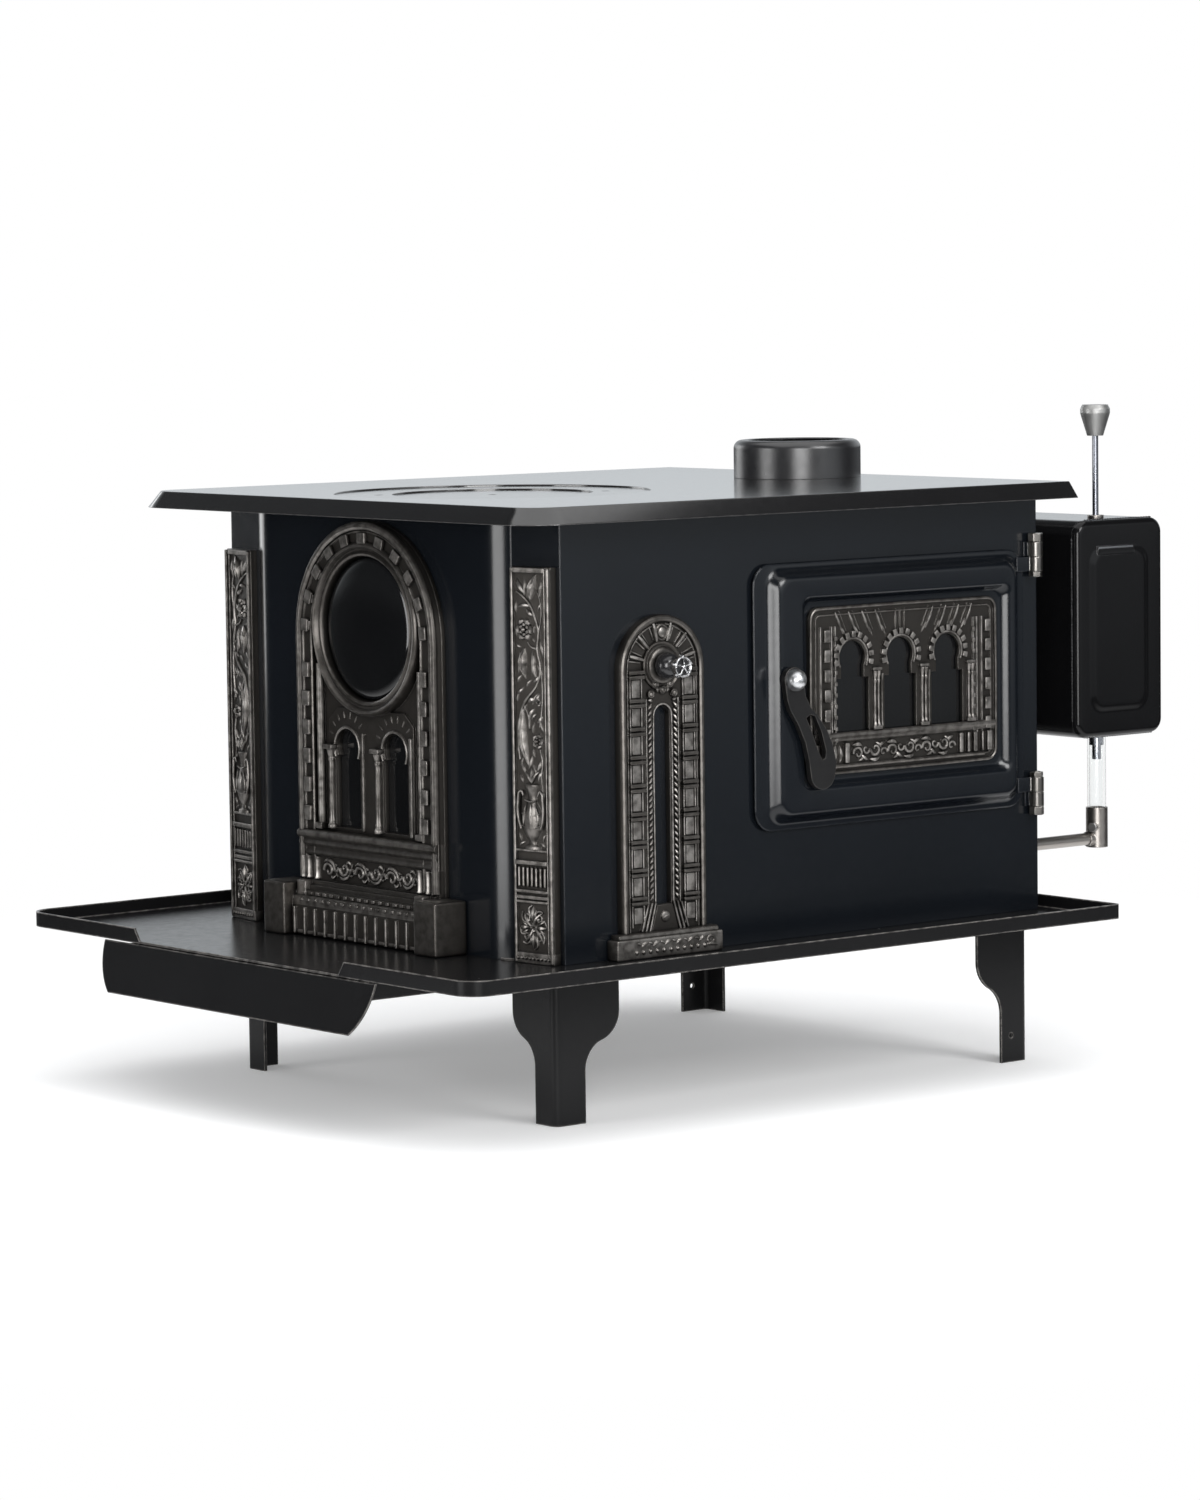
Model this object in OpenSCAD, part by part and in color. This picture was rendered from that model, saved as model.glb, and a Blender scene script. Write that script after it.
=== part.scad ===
// Sheet-steel heating stove with a hearth tray, cast panels and a drip oil tank.
// Millimetres, +Z up, the front faces -Y. Origin: bottom centre of the bounding box.

/* [Body] */
// Width of the casing across its two sides
casing_w = 510; // [420:1:620]
// Depth of the casing from front panel to back panel
casing_d = 600; // [520:1:720]
// Height of the casing between tray and top plate
casing_h = 407.5; // [400:0.5:500]
// How far the corner faces lie behind the front panel at the side bend
corner_set = 18; // [16:1:26]
// Sheet thickness of the casing
sheet_t = 2; // [1.5:0.1:2.5]

/* [Hearth tray and legs] */
// Width of the hearth tray
tray_w = 704; // [640:1:800]
// Reach of the tray in front of the casing
tray_front = 163; // [130:1:200]
// Reach of the tray behind the casing
tray_back = 17; // [8:1:40]
// Height of the upturned tray rim, measured from the tray underside
rim_h = 14; // [10:0.5:20]
// Half width of the gap in the front rim
gap_half = 158; // [120:1:180]
// Height of the legs under the tray
leg_h = 146; // [120:1:190]
// Narrow width of a leg at its foot, front face
foot_w = 30; // [26:1:40]

/* [Top plate] */
// Thickness of the top plate
plate_t = 6; // [5:0.5:8]
// Sideways reach of the sloped plate flange past the casing
plate_over = 56; // [44:1:70]
// Radius of the outer cooking ring
ring_r = 148.5; // [135:0.5:160]
// Radius of the inner cooking lid
lid_r = 93.9; // [80:0.1:100]
// Outer radius of the flue collar
flue_r = 62.5; // [50:0.5:75]
// Height of the flue collar above the plate
flue_h = 37; // [25:1:60]

/* [Loading door] */
// Width of the loading door from free edge to hinge edge
door_w = 339; // [330:1:350]
// Height of the loading door
door_h = 247; // [240:1:256]
// Diameter of the door hinge pins
pin_d = 7; // [6:0.5:8]

/* [Oil tank] */
// Length of the oil tank along the stove's width
tank_len = 420; // [340:1:480]
// Depth of the oil tank
tank_t = 116; // [100:1:130]
// Height of the oil tank
tank_h = 210; // [180:1:225]
// Air gap between the casing and the tank
tank_gap = 35; // [30:1:60]
// Diameter of the valve rod
rod_d = 6; // [5:0.1:8]
// Outside diameter of the clear sight tube
tube_d = 18; // [16:0.5:20]

/* [Ash drawer] */
// Half width of the sliding drawer box
drawer_half = 176; // [150:1:178]
// Forward lean of the drawer front at its lower edge
lip_lean = 15; // [8:1:20]

/* [Hidden] */
tray_t = 2;
run = 0.06;
zl = leg_h;
zb = leg_h + tray_t;
zp = zb + casing_h;
zt = zp + plate_t;
xs = casing_w / 2;
t = sheet_t;
yr = casing_d;
y_front = -(tray_front + lip_lean);
y_back = yr + tank_gap + tank_t;
y_mid = (y_front + y_back) / 2;
// hinge line of the door
hx = xs + 7.5;
hy = yr - 8;
// door outline, measured from the hinge line
dy1 = hy - 14;
dy0 = dy1 - door_w;
dz0 = zl + 104;
dz1 = dz0 + door_h;
// latch spindle
ky = dy0 + 34;
kz = dz0 + 140.6;
// side arch and its knob
ay = 127.5;
nz = zl + 266;
// cooking rings and flue
ry = 140;
fy = yr - flue_r - 18;
// tank
tx1 = xs + 20;
tx0 = tx1 - tank_len;
ty0 = yr + tank_gap;
ty1 = ty0 + tank_t;
tym = (ty0 + ty1) / 2;
tz0 = zl + 165;
tz1 = tz0 + tank_h;
// valve rod, sight tube and feed pipe
vx = xs - 14;
pz = zl + 62.5;
// legs
lx = xs - 13;
ly0 = 15;
ly1 = yr - 2;
// tilt of the corner faces, and the sheet thickness measured square to them
ca = atan2(corner_set - 9.7, xs - 196);
tc = t * (cos(ca) + sin(ca));
// front window
wz = zl + 294;

// Places a piece from the measuring frame (y = 0 on the front panel) into the part frame.
module at() {
  translate([0, -y_mid, 0]) children();
}

// Upright profile drawn in Y and Z, pushed along +X from x0.
module side(x0, w) {
  translate([x0, 0, 0]) rotate([90, 0, 90]) linear_extrude(w) children();
}

// Upright profile drawn in X and Z, pushed along -Y from y0.
module face(y0, w) {
  translate([0, y0, 0]) rotate([90, 0, 0]) linear_extrude(w) children();
}

// Rectangle with four equal round corners.
module rr(x0, y0, x1, y1, r) {
  union() {
    translate([x0 + r, y0]) square([x1 - x0 - 2 * r, y1 - y0]);
    translate([x0, y0 + r]) square([x1 - x0, y1 - y0 - 2 * r]);
    for (x = [x0 + r, x1 - r], y = [y0 + r, y1 - r]) translate([x, y]) circle(r = r, $fn = 40);
  }
}

module cyl(x, y, z, r, h) {
  translate([x, y, z]) cylinder(r = r, h = h, $fn = 32);
}

// Cylinder along +X.
module xcyl(x, y, z, r, h) {
  translate([x, y, z]) rotate([0, 90, 0]) cylinder(r = r, h = h, $fn = 32);
}

// Cylinder along -Y.
module ycyl(x, y, z, r, h) {
  translate([x, y, z]) rotate([90, 0, 0]) cylinder(r = r, h = h, $fn = 32);
}

module hexa(r, h) {
  linear_extrude(h) circle(r = r, $fn = 6);
}

// Outline of the hearth tray, d inside the rim's outer face.
module tray_2d(d) {
  x1 = tray_w / 2 - d;
  y0 = -tray_front + d;
  y1 = yr + tray_back - d;
  union() {
    translate([-x1 + 24, y0]) square([2 * x1 - 48, y1 - y0]);
    translate([-x1, y0 + 24]) square([2 * x1, y1 - y0 - 30]);
    translate([-x1 + 6, y0 + 24]) square([2 * x1 - 12, y1 - y0 - 24]);
    for (s = [-1, 1]) {
      translate([s * (x1 - 24), y0 + 24]) circle(r = 24, $fn = 64);
      translate([s * (x1 - 6), y1 - 6]) circle(r = 6, $fn = 32);
    }
  }
}

// Positions of the two bolts in each of the four legs.
module at_bolts() {
  for (s = [-1, 1]) {
    translate([s * (lx - 37), ly0 + 19, 0]) children();
    translate([s * (lx - 17), ly0 + 43, 0]) children();
    translate([s * (lx - 37), ly1 - 19, 0]) children();
    translate([s * (lx - 17), ly1 - 43, 0]) children();
  }
}

module hearth_tray() {
  color([0.11, 0.115, 0.12]) at() difference() {
    union() {
      translate([0, 0, zl]) linear_extrude(tray_t) tray_2d(0);
      translate([0, 0, zl]) linear_extrude(rim_h) difference() {
        tray_2d(0);
        tray_2d(2);
      }
    }
    // gap in the front rim, its ends cut on a slant
    face(-tray_front + 10, 20) polygon([[-gap_half, zb], [gap_half, zb],
      [gap_half + 9, zl + rim_h + 1], [-gap_half - 9, zl + rim_h + 1]]);
    translate([0, 0, zl - 1]) at_bolts() cylinder(r = 3.3, h = 4, $fn = 32);
  }
}

// Ogee-cut wing of a leg: wide at the top, narrow at the foot, corner edge at u = 0.
module ogee(w0, w1, z0, z1) {
  s = (pow(w0 - w1, 2) + pow(z0 - z1, 2)) / (2 * (w0 - w1));
  r = s / 2;
  wm = (w0 + w1) / 2;
  zm = (z0 + z1) / 2;
  difference() {
    union() {
      square([w1, zl]);
      translate([0, z0]) square([w0, zl - z0]);
      polygon([[0, z0], [w0, z0], [wm, zm], [w1, z1], [0, z1]]);
      translate([w0 - r, z0]) circle(r = r, $fn = 72);
    }
    translate([w1 + r, z1]) circle(r = r, $fn = 72);
  }
}

// A leg with its corner at the origin, wings along +X and +Y.
module leg(w_front, w_side, hole) {
  difference() {
    intersection() {
      union() {
        face(3, 3) ogee(w_front, foot_w, zl * 0.69, zl * 0.36);
        side(0, 3) ogee(w_side, foot_w + 5, zl * 0.69, zl * 0.33);
        translate([0, 0, zl - 3]) cube([56, 56, 3]);
        translate([3, 3, 0]) cube([4, 4, zl]);
      }
      linear_extrude(zl) union() {
        translate([7, 0]) square([100, 100]);
        translate([0, 7]) square([100, 100]);
        translate([7, 7]) circle(r = 7, $fn = 48);
      }
    }
    translate([7, 7, -1]) cylinder(r = 4, h = zl - 2, $fn = 48);
    translate([7, 3, -1]) cube([5, 4, zl - 2]);
    translate([3, 7, -1]) cube([4, 5, zl - 2]);
    translate([37, 19, zl - 5]) cylinder(r = 3.3, h = 8, $fn = 32);
    translate([17, 43, zl - 5]) cylinder(r = 3.3, h = 8, $fn = 32);
    if (hole) {
      translate([-1, 22, 26]) rotate([0, 90, 0]) cylinder(r = 2.5, h = 5, $fn = 32);
    }
  }
}

module leg_front_left() {
  color([0.10, 0.105, 0.11]) at() translate([-lx, ly0, 0]) leg(62, 75, false);
}

module leg_front_right() {
  color([0.10, 0.105, 0.11]) at() mirror([1, 0, 0]) translate([-lx, ly0, 0]) leg(62, 75, false);
}

module leg_rear_left() {
  color([0.10, 0.105, 0.11]) at() translate([-lx, ly1, 0]) mirror([0, 1, 0]) leg(60, 66, true);
}

module leg_rear_right() {
  color([0.10, 0.105, 0.11]) at() mirror([1, 0, 0]) translate([-lx, ly1, 0]) mirror([0, 1, 0])
    leg(60, 66, true);
}

module leg_bolts() {
  color([0.42, 0.42, 0.43]) at() at_bolts() {
    translate([0, 0, zb + 2]) hexa(5.5, 4);
    translate([0, 0, zl - 10]) cylinder(r = 3, h = tray_t + 13, $fn = 32);
  }
}

module leg_nuts() {
  color([0.42, 0.42, 0.43]) at() at_bolts() translate([0, 0, zl - 8]) difference() {
    hexa(5.5, 5);
    translate([0, 0, -1]) cylinder(r = 3.02, h = 7, $fn = 32);
  }
}

// Plan outline of the casing, d inside its outer face, open at the back when used as a shell.
module case_2d(d, y1) {
  union() {
    polygon([[-xs + d, y1], [-xs + d, corner_set + d], [-196 + d, 9.7 + d], [196 - d, 9.7 + d],
      [xs - d, corner_set + d], [xs - d, y1]]);
    translate([-186, d]) square([372, 20]);
    translate([-196 + d, 10]) square([392 - 2 * d, 10]);
    for (s = [-1, 1]) translate([s * 186, 10]) circle(r = 10 - d, $fn = 64);
  }
}

// Screw studs of the four cast panels, each along the panel's own normal.
module front_studs(r, y0, h) {
  for (x = [-99, 99], z = [zl + 90, zl + 262]) ycyl(x, y0, z, r, h);
}

module side_studs(r, x0, h) {
  xcyl(x0, ay, zl + 38, r, h);
  xcyl(x0, ay, zl + 296, r, h);
}

module corner_frame() {
  translate([196, 9.7, 0]) rotate([0, 0, ca]) children();
}

module strip_studs(r, y0, h) {
  for (z = [zl + 60, zl + 320]) ycyl(31, y0, z, r, h);
}

module door_opening_2d() {
  rr(dy0 + 21, dz0 + 14, dy1 - 22, dz1 - 14, 16);
}

module casing() {
  color([0.07, 0.08, 0.11]) at() difference() {
    translate([0, 0, zb]) linear_extrude(casing_h) difference() {
      case_2d(0, yr);
      case_2d(t, yr + 1);
    }
    ycyl(0, 10, wz, 72, 20);
    face(10, 20) rr(-66, zl + 100, 66, zl + 206, 4);
    front_studs(2.6, 10, 20);
    side(xs - 10, 20) door_opening_2d();
    xcyl(xs - 10, ay, nz, 4.3, 20);
    for (a = [45:90:315]) xcyl(xs - 10, ay + 14 * cos(a), nz + 14 * sin(a), 4.5, 20);
    side_studs(2.6, xs - 10, 20);
    corner_frame() strip_studs(2.6, 10, 20);
    mirror([1, 0, 0]) corner_frame() strip_studs(2.6, 10, 20);
  }
}

module floor_panel() {
  color([0.09, 0.09, 0.10]) at() difference() {
    translate([0, 0, zb]) linear_extrude(2) case_2d(t + 0.2, yr - 2.2);
    translate([0, 0, zb - 1]) at_bolts() cylinder(r = 3.3, h = 4, $fn = 32);
  }
}

// Screw positions of the two tank brackets on the back panel.
module bracket_pos() {
  for (x = [tx0 + 85, tx1 - 105], z = [tz0 + 18, tz0 + 60]) translate([x, yr, z]) children();
}

module back_panel() {
  color([0.07, 0.08, 0.11]) at() difference() {
    union() {
      translate([-xs + t, yr - 2, zb + 2]) cube([2 * (xs - t), 2, casing_h - 2]);
      for (s = [-1, 1]) translate([s * (xs - t - 1) - 1, yr - 14, zb + 2]) cube([2, 13, casing_h - 2]);
    }
    ycyl(vx, yr + 5, pz, 6.6, 10);
    bracket_pos() translate([0, 5, 0]) rotate([90, 0, 0]) cylinder(r = 2.6, h = 12, $fn = 32);
  }
}

// Section of the plate edge: top surface ends at u = 0, the flange slopes out and down.
module edge_2d() {
  polygon([[-20, 0], [0, 0], [12.5, -15.5], [9, -15.5], [-1.8, -4], [-2, -plate_t], [-20, -plate_t]]);
}

module top_plate() {
  ex = xs + plate_over - 12.5;
  ey = -plate_over + 9.5;
  y1 = yr + 3;
  color([0.09, 0.09, 0.095]) at() translate([0, 0, zt]) difference() {
    union() {
      translate([-ex + 20, ey + 10, -plate_t]) cube([2 * ex - 40, y1 - ey - 10, plate_t]);
      translate([-ex + 2, ey + 28, -plate_t]) cube([2 * ex - 4, y1 - ey - 28, plate_t]);
      translate([-ex + 28, ey + 28, 0]) rotate([90, 0, 90]) mirror([1, 0, 0]) translate([28, 0, 0])
        linear_extrude(2 * ex - 56) edge_2d();
      for (m = [0, 1]) mirror([m, 0, 0]) {
        translate([ex, y1, 0]) rotate([90, 0, 0]) linear_extrude(y1 - ey - 28) edge_2d();
        translate([ex - 28, ey + 28, 0]) rotate([0, 0, -90]) rotate_extrude(angle = 90, $fn = 96)
          translate([28, 0]) edge_2d();
        translate([ex - 28, ey + 28, -plate_t]) cylinder(r = 25.5, h = plate_t, $fn = 96);
      }
    }
    translate([0, ry, -plate_t - 1]) cylinder(r = ring_r - 18.5, h = plate_t + 2, $fn = 128);
    translate([0, ry, -3.5]) cylinder(r = ring_r + 0.5, h = 4, $fn = 128);
    translate([0, fy, -plate_t - 1]) cylinder(r = flue_r - 0.6, h = plate_t + 2, $fn = 128);
  }
}

module flue_collar() {
  color([0.08, 0.08, 0.085]) at() translate([0, fy, 0]) rotate_extrude($fn = 128) union() {
    translate([flue_r - 2, zt]) square([2, flue_h - 8]);
    translate([flue_r - 2, zp - 2]) square([1.4, zt - zp + 3]);
    translate([flue_r - 2, zp - 2]) square([17, 2]);
    translate([flue_r - 8, zt + flue_h - 8]) intersection() {
      difference() {
        circle(r = 8, $fn = 48);
        circle(r = 6, $fn = 48);
      }
      square([8, 8]);
    }
    translate([flue_r - 14, zt + flue_h - 2]) square([6, 2]);
  }
}

module cook_ring() {
  z = zt - 3.5;
  color([0.12, 0.12, 0.125]) at() translate([0, ry, 0]) difference() {
    union() {
      translate([0, 0, z]) cylinder(r = ring_r, h = 2, $fn = 128);
      translate([0, 0, z - 5]) cylinder(r = ring_r - 19, h = 7, $fn = 128);
    }
    translate([0, 0, z - 2.5]) cylinder(r = lid_r + 0.5, h = 10, $fn = 128);
    translate([0, 0, z - 6]) cylinder(r = lid_r - 8, h = 10, $fn = 128);
    for (s = [-1, 1]) translate([s * 58, s * 90, z - 1]) cylinder(r = 4, h = 4, $fn = 32);
  }
}

module cook_lid() {
  z = zt - 6;
  color([0.12, 0.12, 0.125]) at() translate([0, ry, 0]) difference() {
    union() {
      translate([0, 0, z]) cylinder(r = lid_r, h = 3, $fn = 128);
      translate([0, 0, z - 2.5]) cylinder(r = lid_r - 8.5, h = 3, $fn = 128);
    }
    translate([0, 0, z + 1]) cylinder(r = 4, h = 3, $fn = 32);
  }
}

// Round-headed arch outline centred on u = 0.
module arch_2d(w, z0, z1) {
  union() {
    translate([-w, z0]) square([2 * w, z1 - w - z0]);
    translate([0, z1 - w]) circle(r = w, $fn = 96);
  }
}

// Small arched niche with a narrower round head above a straight light.
module niche_2d(x, z0, z1, w) {
  translate([x - w, z0]) square([2 * w, z1 - z0 - w - 8]);
  translate([x - w + 4, z0]) square([2 * w - 8, z1 - z0 - w]);
  translate([x, z1 - w + 2]) circle(r = w - 2, $fn = 48);
}

module front_arch() {
  z0 = zb;
  w = 108;
  top = zl + 394;
  color([0.16, 0.15, 0.135]) at() {
    difference() {
      union() {
        // backing plate and proud border
        face(0, 8) arch_2d(w, z0, top);
        face(-8, 7) difference() {
          arch_2d(w, z0, top);
          arch_2d(w - 8, z0 - 1, top - 8);
        }
        face(-8, 3) difference() {
          arch_2d(w - 24, z0 + 96, top - 24);
          arch_2d(w - 27, z0 + 95, top - 27);
        }
        // brick blocks down both sides and round the head
        for (s = [-1, 1], i = [0:5]) translate([s * (w - 16) - 6, -12, zl + 110 + i * 27])
          cube([12, 4, 10]);
        translate([0, 0, top - w]) for (a = [5:17:175]) rotate([0, -a, 0])
          translate([w - 18.5, -12, -5]) cube([9, 4.5, 10]);
        // window bezel, turned in rings
        translate([0, -8, wz]) rotate([90, 0, 0]) rotate_extrude($fn = 96) {
          translate([67, 0]) square([13, 4]);
          translate([76, 4]) circle(r = 3.2, $fn = 32);
          translate([69.5, 4]) circle(r = 2.4, $fn = 32);
        }
        // half-round columns beside the niches
        for (x = [-78, -60.5, 0, 60.5, 78]) translate([x, -8, zl + 104])
          cylinder(r = abs(x) > 70 ? 5 : 4, h = abs(x) > 70 ? 100 : 66, $fn = 32);
        for (x = [-62.5, 0, 62.5], z = [zl + 104, zl + 168]) translate([x - 6, -14, z])
          cube([12, 6, 6]);
        // moulding, panel band and stepped base
        translate([-w, -16, zl + 92]) cube([2 * w, 8, 8]);
        translate([-w, -13, zl + 86]) cube([2 * w, 5, 6]);
        translate([-w, -12, zl + 78]) cube([2 * w, 4, 8]);
        for (x = [-102, -80, 80, 102]) translate([x - 4, -14, zl + 54]) cube([8, 6, 25]);
        for (i = [0:3]) translate([-w + 3 - i, -14 - i * 4, zl + 30])
          cube([2 * w - 6 + 2 * i, 14 + i * 4, 24 - i * 5]);
        translate([-104, -27, z0 + 1]) cube([208, 27, 30]);
        for (i = [0:12]) translate([-96 + i * 16 - 3, -30, z0 + 3]) cube([6, 3, 26]);
        for (s = [-1, 1]) translate([s * 118 - 17, -37, z0]) cube([34, 37, 50]);
      }
      // round light and the two niches
      ycyl(0, 1, wz, 67, 30);
      face(1, 30) niche_2d(-37, zl + 106, zl + 200, 19);
      face(1, 30) niche_2d(37, zl + 106, zl + 200, 19);
      // hollow back of the plinth
      translate([-98, -22, z0 + 6]) cube([196, 23, 18]);
    }
    // studs through the casing
    front_studs(2.5, t + 9, t + 10);
  }
}

module window_glass() {
  color([0.05, 0.06, 0.07]) at() translate([0, 0, wz]) rotate([90, 0, 0]) union() {
    translate([0, 0, -4]) cylinder(r = 71, h = 4, $fn = 96);
    difference() {
      translate([0, 0, -440]) sphere(r = 445, $fn = 220);
      translate([-500, -500, -1000]) cube([1000, 1000, 1000]);
    }
  }
}

module window_keeper() {
  color([0.30, 0.30, 0.31]) at() {
    translate([0, t, wz]) rotate([-90, 0, 0]) difference() {
      cylinder(r = 84, h = 4, $fn = 96);
      translate([0, 0, -1]) cylinder(r = 72, h = 3, $fn = 96);
      translate([0, 0, -1]) cylinder(r = 66, h = 6, $fn = 96);
    }
    face(t + 2, 2) difference() {
      rr(-74, zl + 94, 74, zl + 216, 5);
      rr(-58, zl + 106, 58, zl + 200, 4);
    }
  }
}

module niche_glass() {
  color([0.05, 0.06, 0.07]) at() face(t, t) rr(-64, zl + 102, 64, zl + 204, 3);
}

module strip() {
  w = 48;
  top = zl + 359;
  difference() {
    union() {
      translate([6.5, -8, zb]) cube([w, 8, top - zb]);
      // raised edges and cross bars
      for (x = [6.5, w + 3]) translate([x, -10.5, zb]) cube([3.5, 3, top - zb]);
      for (z = [zl + 5, zl + 57, zl + 66, zl + 90, zl + 103, zl + 354]) translate([6.5, -10.5, z])
        cube([w, 3, 4]);
      translate([5.5, -11.5, zb]) cube([w + 2, 11.5, 5]);
      // ribbed band
      for (i = [0:6]) translate([13 + i * 5.9, -10, zl + 70]) cube([3, 3, 20]);
      // low relief bosses of the leaf panel
      for (i = [0:5]) translate([31 + (i % 2 == 0 ? -7 : 7), -8, zl + 195 + i * 27]) rotate([90, 0, 0])
        cylinder(r = 9, h = 2, $fn = 32);
      translate([31, -8, zl + 128]) rotate([90, 0, 0]) cylinder(r = 14, h = 2.4, $fn = 40);
      translate([31, -8, zl + 34]) rotate([90, 0, 0]) cylinder(r = 15, h = 2.2, $fn = 40);
    }
    translate([14, -1.5, zl + 70]) cube([34, 2, 236]);
  }
  strip_studs(2.5, t + 9, t + 12);
}

module corner_strip_right() {
  color([0.16, 0.15, 0.135]) at() corner_frame() strip();
}

module corner_strip_left() {
  color([0.16, 0.15, 0.135]) at() mirror([1, 0, 0]) corner_frame() strip();
}

module side_arch() {
  w = 49;
  z0 = zb;
  top = zl + 312;
  color([0.16, 0.15, 0.135]) at() {
    difference() {
      union() {
        translate([0, ay, 0]) side(xs, 7) arch_2d(w, z0, top);
        translate([0, ay, 0]) side(xs + 7, 3.5) difference() {
          arch_2d(w, z0, top);
          arch_2d(w - 5, z0 - 1, top - 5);
        }
        // inner roped border round the slot
        translate([0, ay, 0]) side(xs + 7, 3.5) difference() {
          arch_2d(17, zl + 44, zl + 246);
          arch_2d(12, zl + 43, zl + 241);
        }
        // blocks down both sides
        for (s = [-1, 1], i = [0:8]) translate([xs + 7, ay + s * 31 - 9, zl + 50 + i * 26.8])
          cube([3, 18, 7]);
        // rays round the head
        for (a = [30:30:150]) translate([xs + 7, ay, nz - 4]) rotate([a - 90, 0, 0])
          translate([0, -2, 24]) cube([3, 4, 18]);
        // turned boss for the knob
        translate([xs + 7, ay, nz]) rotate([0, 90, 0]) cylinder(r = 21, h = 2, $fn = 64);
        translate([xs + 9, ay, nz]) rotate([0, 90, 0]) cylinder(r = 15, h = 2, $fn = 64);
        // sloped bars beside the lower screw
        for (s = [-1, 1]) translate([xs + 7, ay + s * 16, zl + 26]) rotate([s * 14, 0, 0])
          translate([0, -2, 0]) cube([3.5, 4, 26]);
        // plinth
        translate([xs, ay - 62, z0]) cube([17, 124, 19]);
        translate([xs, ay - 58, z0 + 19]) cube([14, 116, 4]);
      }
      translate([0, ay, 0]) side(xs - 1, 20) arch_2d(9, zl + 49, zl + 230);
      // hollow back that joins the slot to the air holes
      translate([xs - 1, ay - 19, zl + 200]) cube([5, 38, 85]);
      xcyl(xs - 1, ay, nz, 4.3, 20);
    }
    side_studs(2.5, xs - t - 9, t + 10);
    // head of the lower screw
    xcyl(xs + 7, ay, zl + 38, 4.5, 2);
  }
}

module panel_nuts() {
  color([0.45, 0.45, 0.46]) at() {
    difference() {
      for (x = [-99, 99], z = [zl + 90, zl + 262]) translate([x, t + 5, z]) rotate([90, 0, 0]) hexa(5, 5);
      front_studs(2.53, t + 10, 20);
    }
    difference() {
      for (z = [zl + 38, zl + 296]) translate([xs - t - 5, ay, z]) rotate([0, 90, 0]) hexa(5, 5);
      side_studs(2.53, xs - t - 10, 20);
    }
    for (m = [0, 1]) mirror([m, 0, 0]) corner_frame() difference() {
      for (z = [zl + 60, zl + 320]) translate([31, tc + 5, z]) rotate([90, 0, 0]) hexa(5, 5);
      strip_studs(2.53, t + 10, 20);
    }
  }
}

module air_knob() {
  color([0.78, 0.78, 0.80]) at() {
    xcyl(xs - 8, ay, nz, 4.2, 44);
    translate([xs + 11.3, ay, nz]) rotate([0, 90, 0]) cylinder(r = 10.5, h = 5, $fn = 48);
    translate([xs + 16.3, ay, nz]) rotate([0, 90, 0]) cylinder(r1 = 10.5, r2 = 6, h = 6, $fn = 48);
    // lobed end
    translate([xs + 30, ay, nz]) rotate([0, 90, 0]) cylinder(r = 7, h = 11, $fn = 48);
    for (a = [0:72:288]) translate([xs + 30, ay + 6.4 * cos(a), nz + 6.4 * sin(a)]) rotate([0, 90, 0])
      cylinder(r = 3.6, h = 11, $fn = 32);
  }
}

module air_shutter() {
  color([0.35, 0.35, 0.36]) at() difference() {
    translate([xs - t - 2.3, ay, nz]) rotate([0, 90, 0]) cylinder(r = 22, h = 2, $fn = 64);
    xcyl(xs - t - 4, ay, nz, 4.22, 6);
    for (a = [45:90:315]) xcyl(xs - t - 4, ay + 14 * cos(a), nz + 14 * sin(a), 4.5, 6);
  }
}

// Solid under the pressed face of the door: flange, raised frame with sloped sides, recess.
module door_form(g) {
  difference() {
    union() {
      side(xs - 10 - g, 15 + g) rr(dy0 - g, dz0 - g, dy1 + g, dz1 + g, 20);
      intersection() {
        translate([0, 0, dz0]) linear_extrude(door_h) polygon([[xs - 10, dy0 + 18], [xs + 5, dy0 + 18],
          [xs + 13.5, dy0 + 27], [xs + 13.5, dy1 - 18], [xs + 5, dy1 - 10], [xs - 10, dy1 - 10]]);
        face(dy1, door_w) polygon([[xs - 10, dz0 + 8], [xs + 5, dz0 + 8], [xs + 13.5, dz0 + 15],
          [xs + 13.5, dz1 - 14], [xs + 5, dz1 - 6], [xs - 10, dz1 - 6]]);
        side(xs - 10, 30) rr(dy0 + 18, dz0 + 8, dy1 - 10, dz1 - 6, 14);
      }
    }
    intersection() {
      translate([0, 0, dz0]) linear_extrude(door_h) polygon([[xs + 7, dy0 + 60], [xs + 14, dy0 + 55.7],
        [xs + 14, dy1 - 23.5], [xs + 7, dy1 - 35]]);
      face(dy1, door_w) polygon([[xs + 7, dz0 + 44], [xs + 14, dz0 + 38.6], [xs + 14, dz1 - 32.5],
        [xs + 7, dz1 - 38]]);
    }
  }
}

// Screws that hold the liner, skin and casting together.
module at_door_screws() {
  for (y = [dy0 + 72, dy1 - 50], z = [dz0 + 59, dz0 + 195]) translate([0, y, z]) rotate([0, 90, 0])
    children();
}

module door_window_2d(g) {
  rr(dy0 + 86 - g, dz0 + 81 - g, dy1 - 73 + g, dz0 + 178 + g, 4);
}

module door_skin() {
  color([0.08, 0.085, 0.11]) at() difference() {
    door_form(0);
    translate([-1.5, 0, 0]) door_form(2);
    side(xs, 20) door_window_2d(0);
    xcyl(xs, ky, kz, 4 + run, 20);
    translate([xs, 0, 0]) at_door_screws() cylinder(r = 2.6, h = 20, $fn = 32);
  }
}

module door_light_2d(y) {
  z0 = dz0 + 87;
  translate([y - 20, z0]) square([40, 50]);
  translate([y - 14, z0]) square([28, 68]);
  translate([y, z0 + 69]) circle(r = 16, $fn = 48);
}

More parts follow.
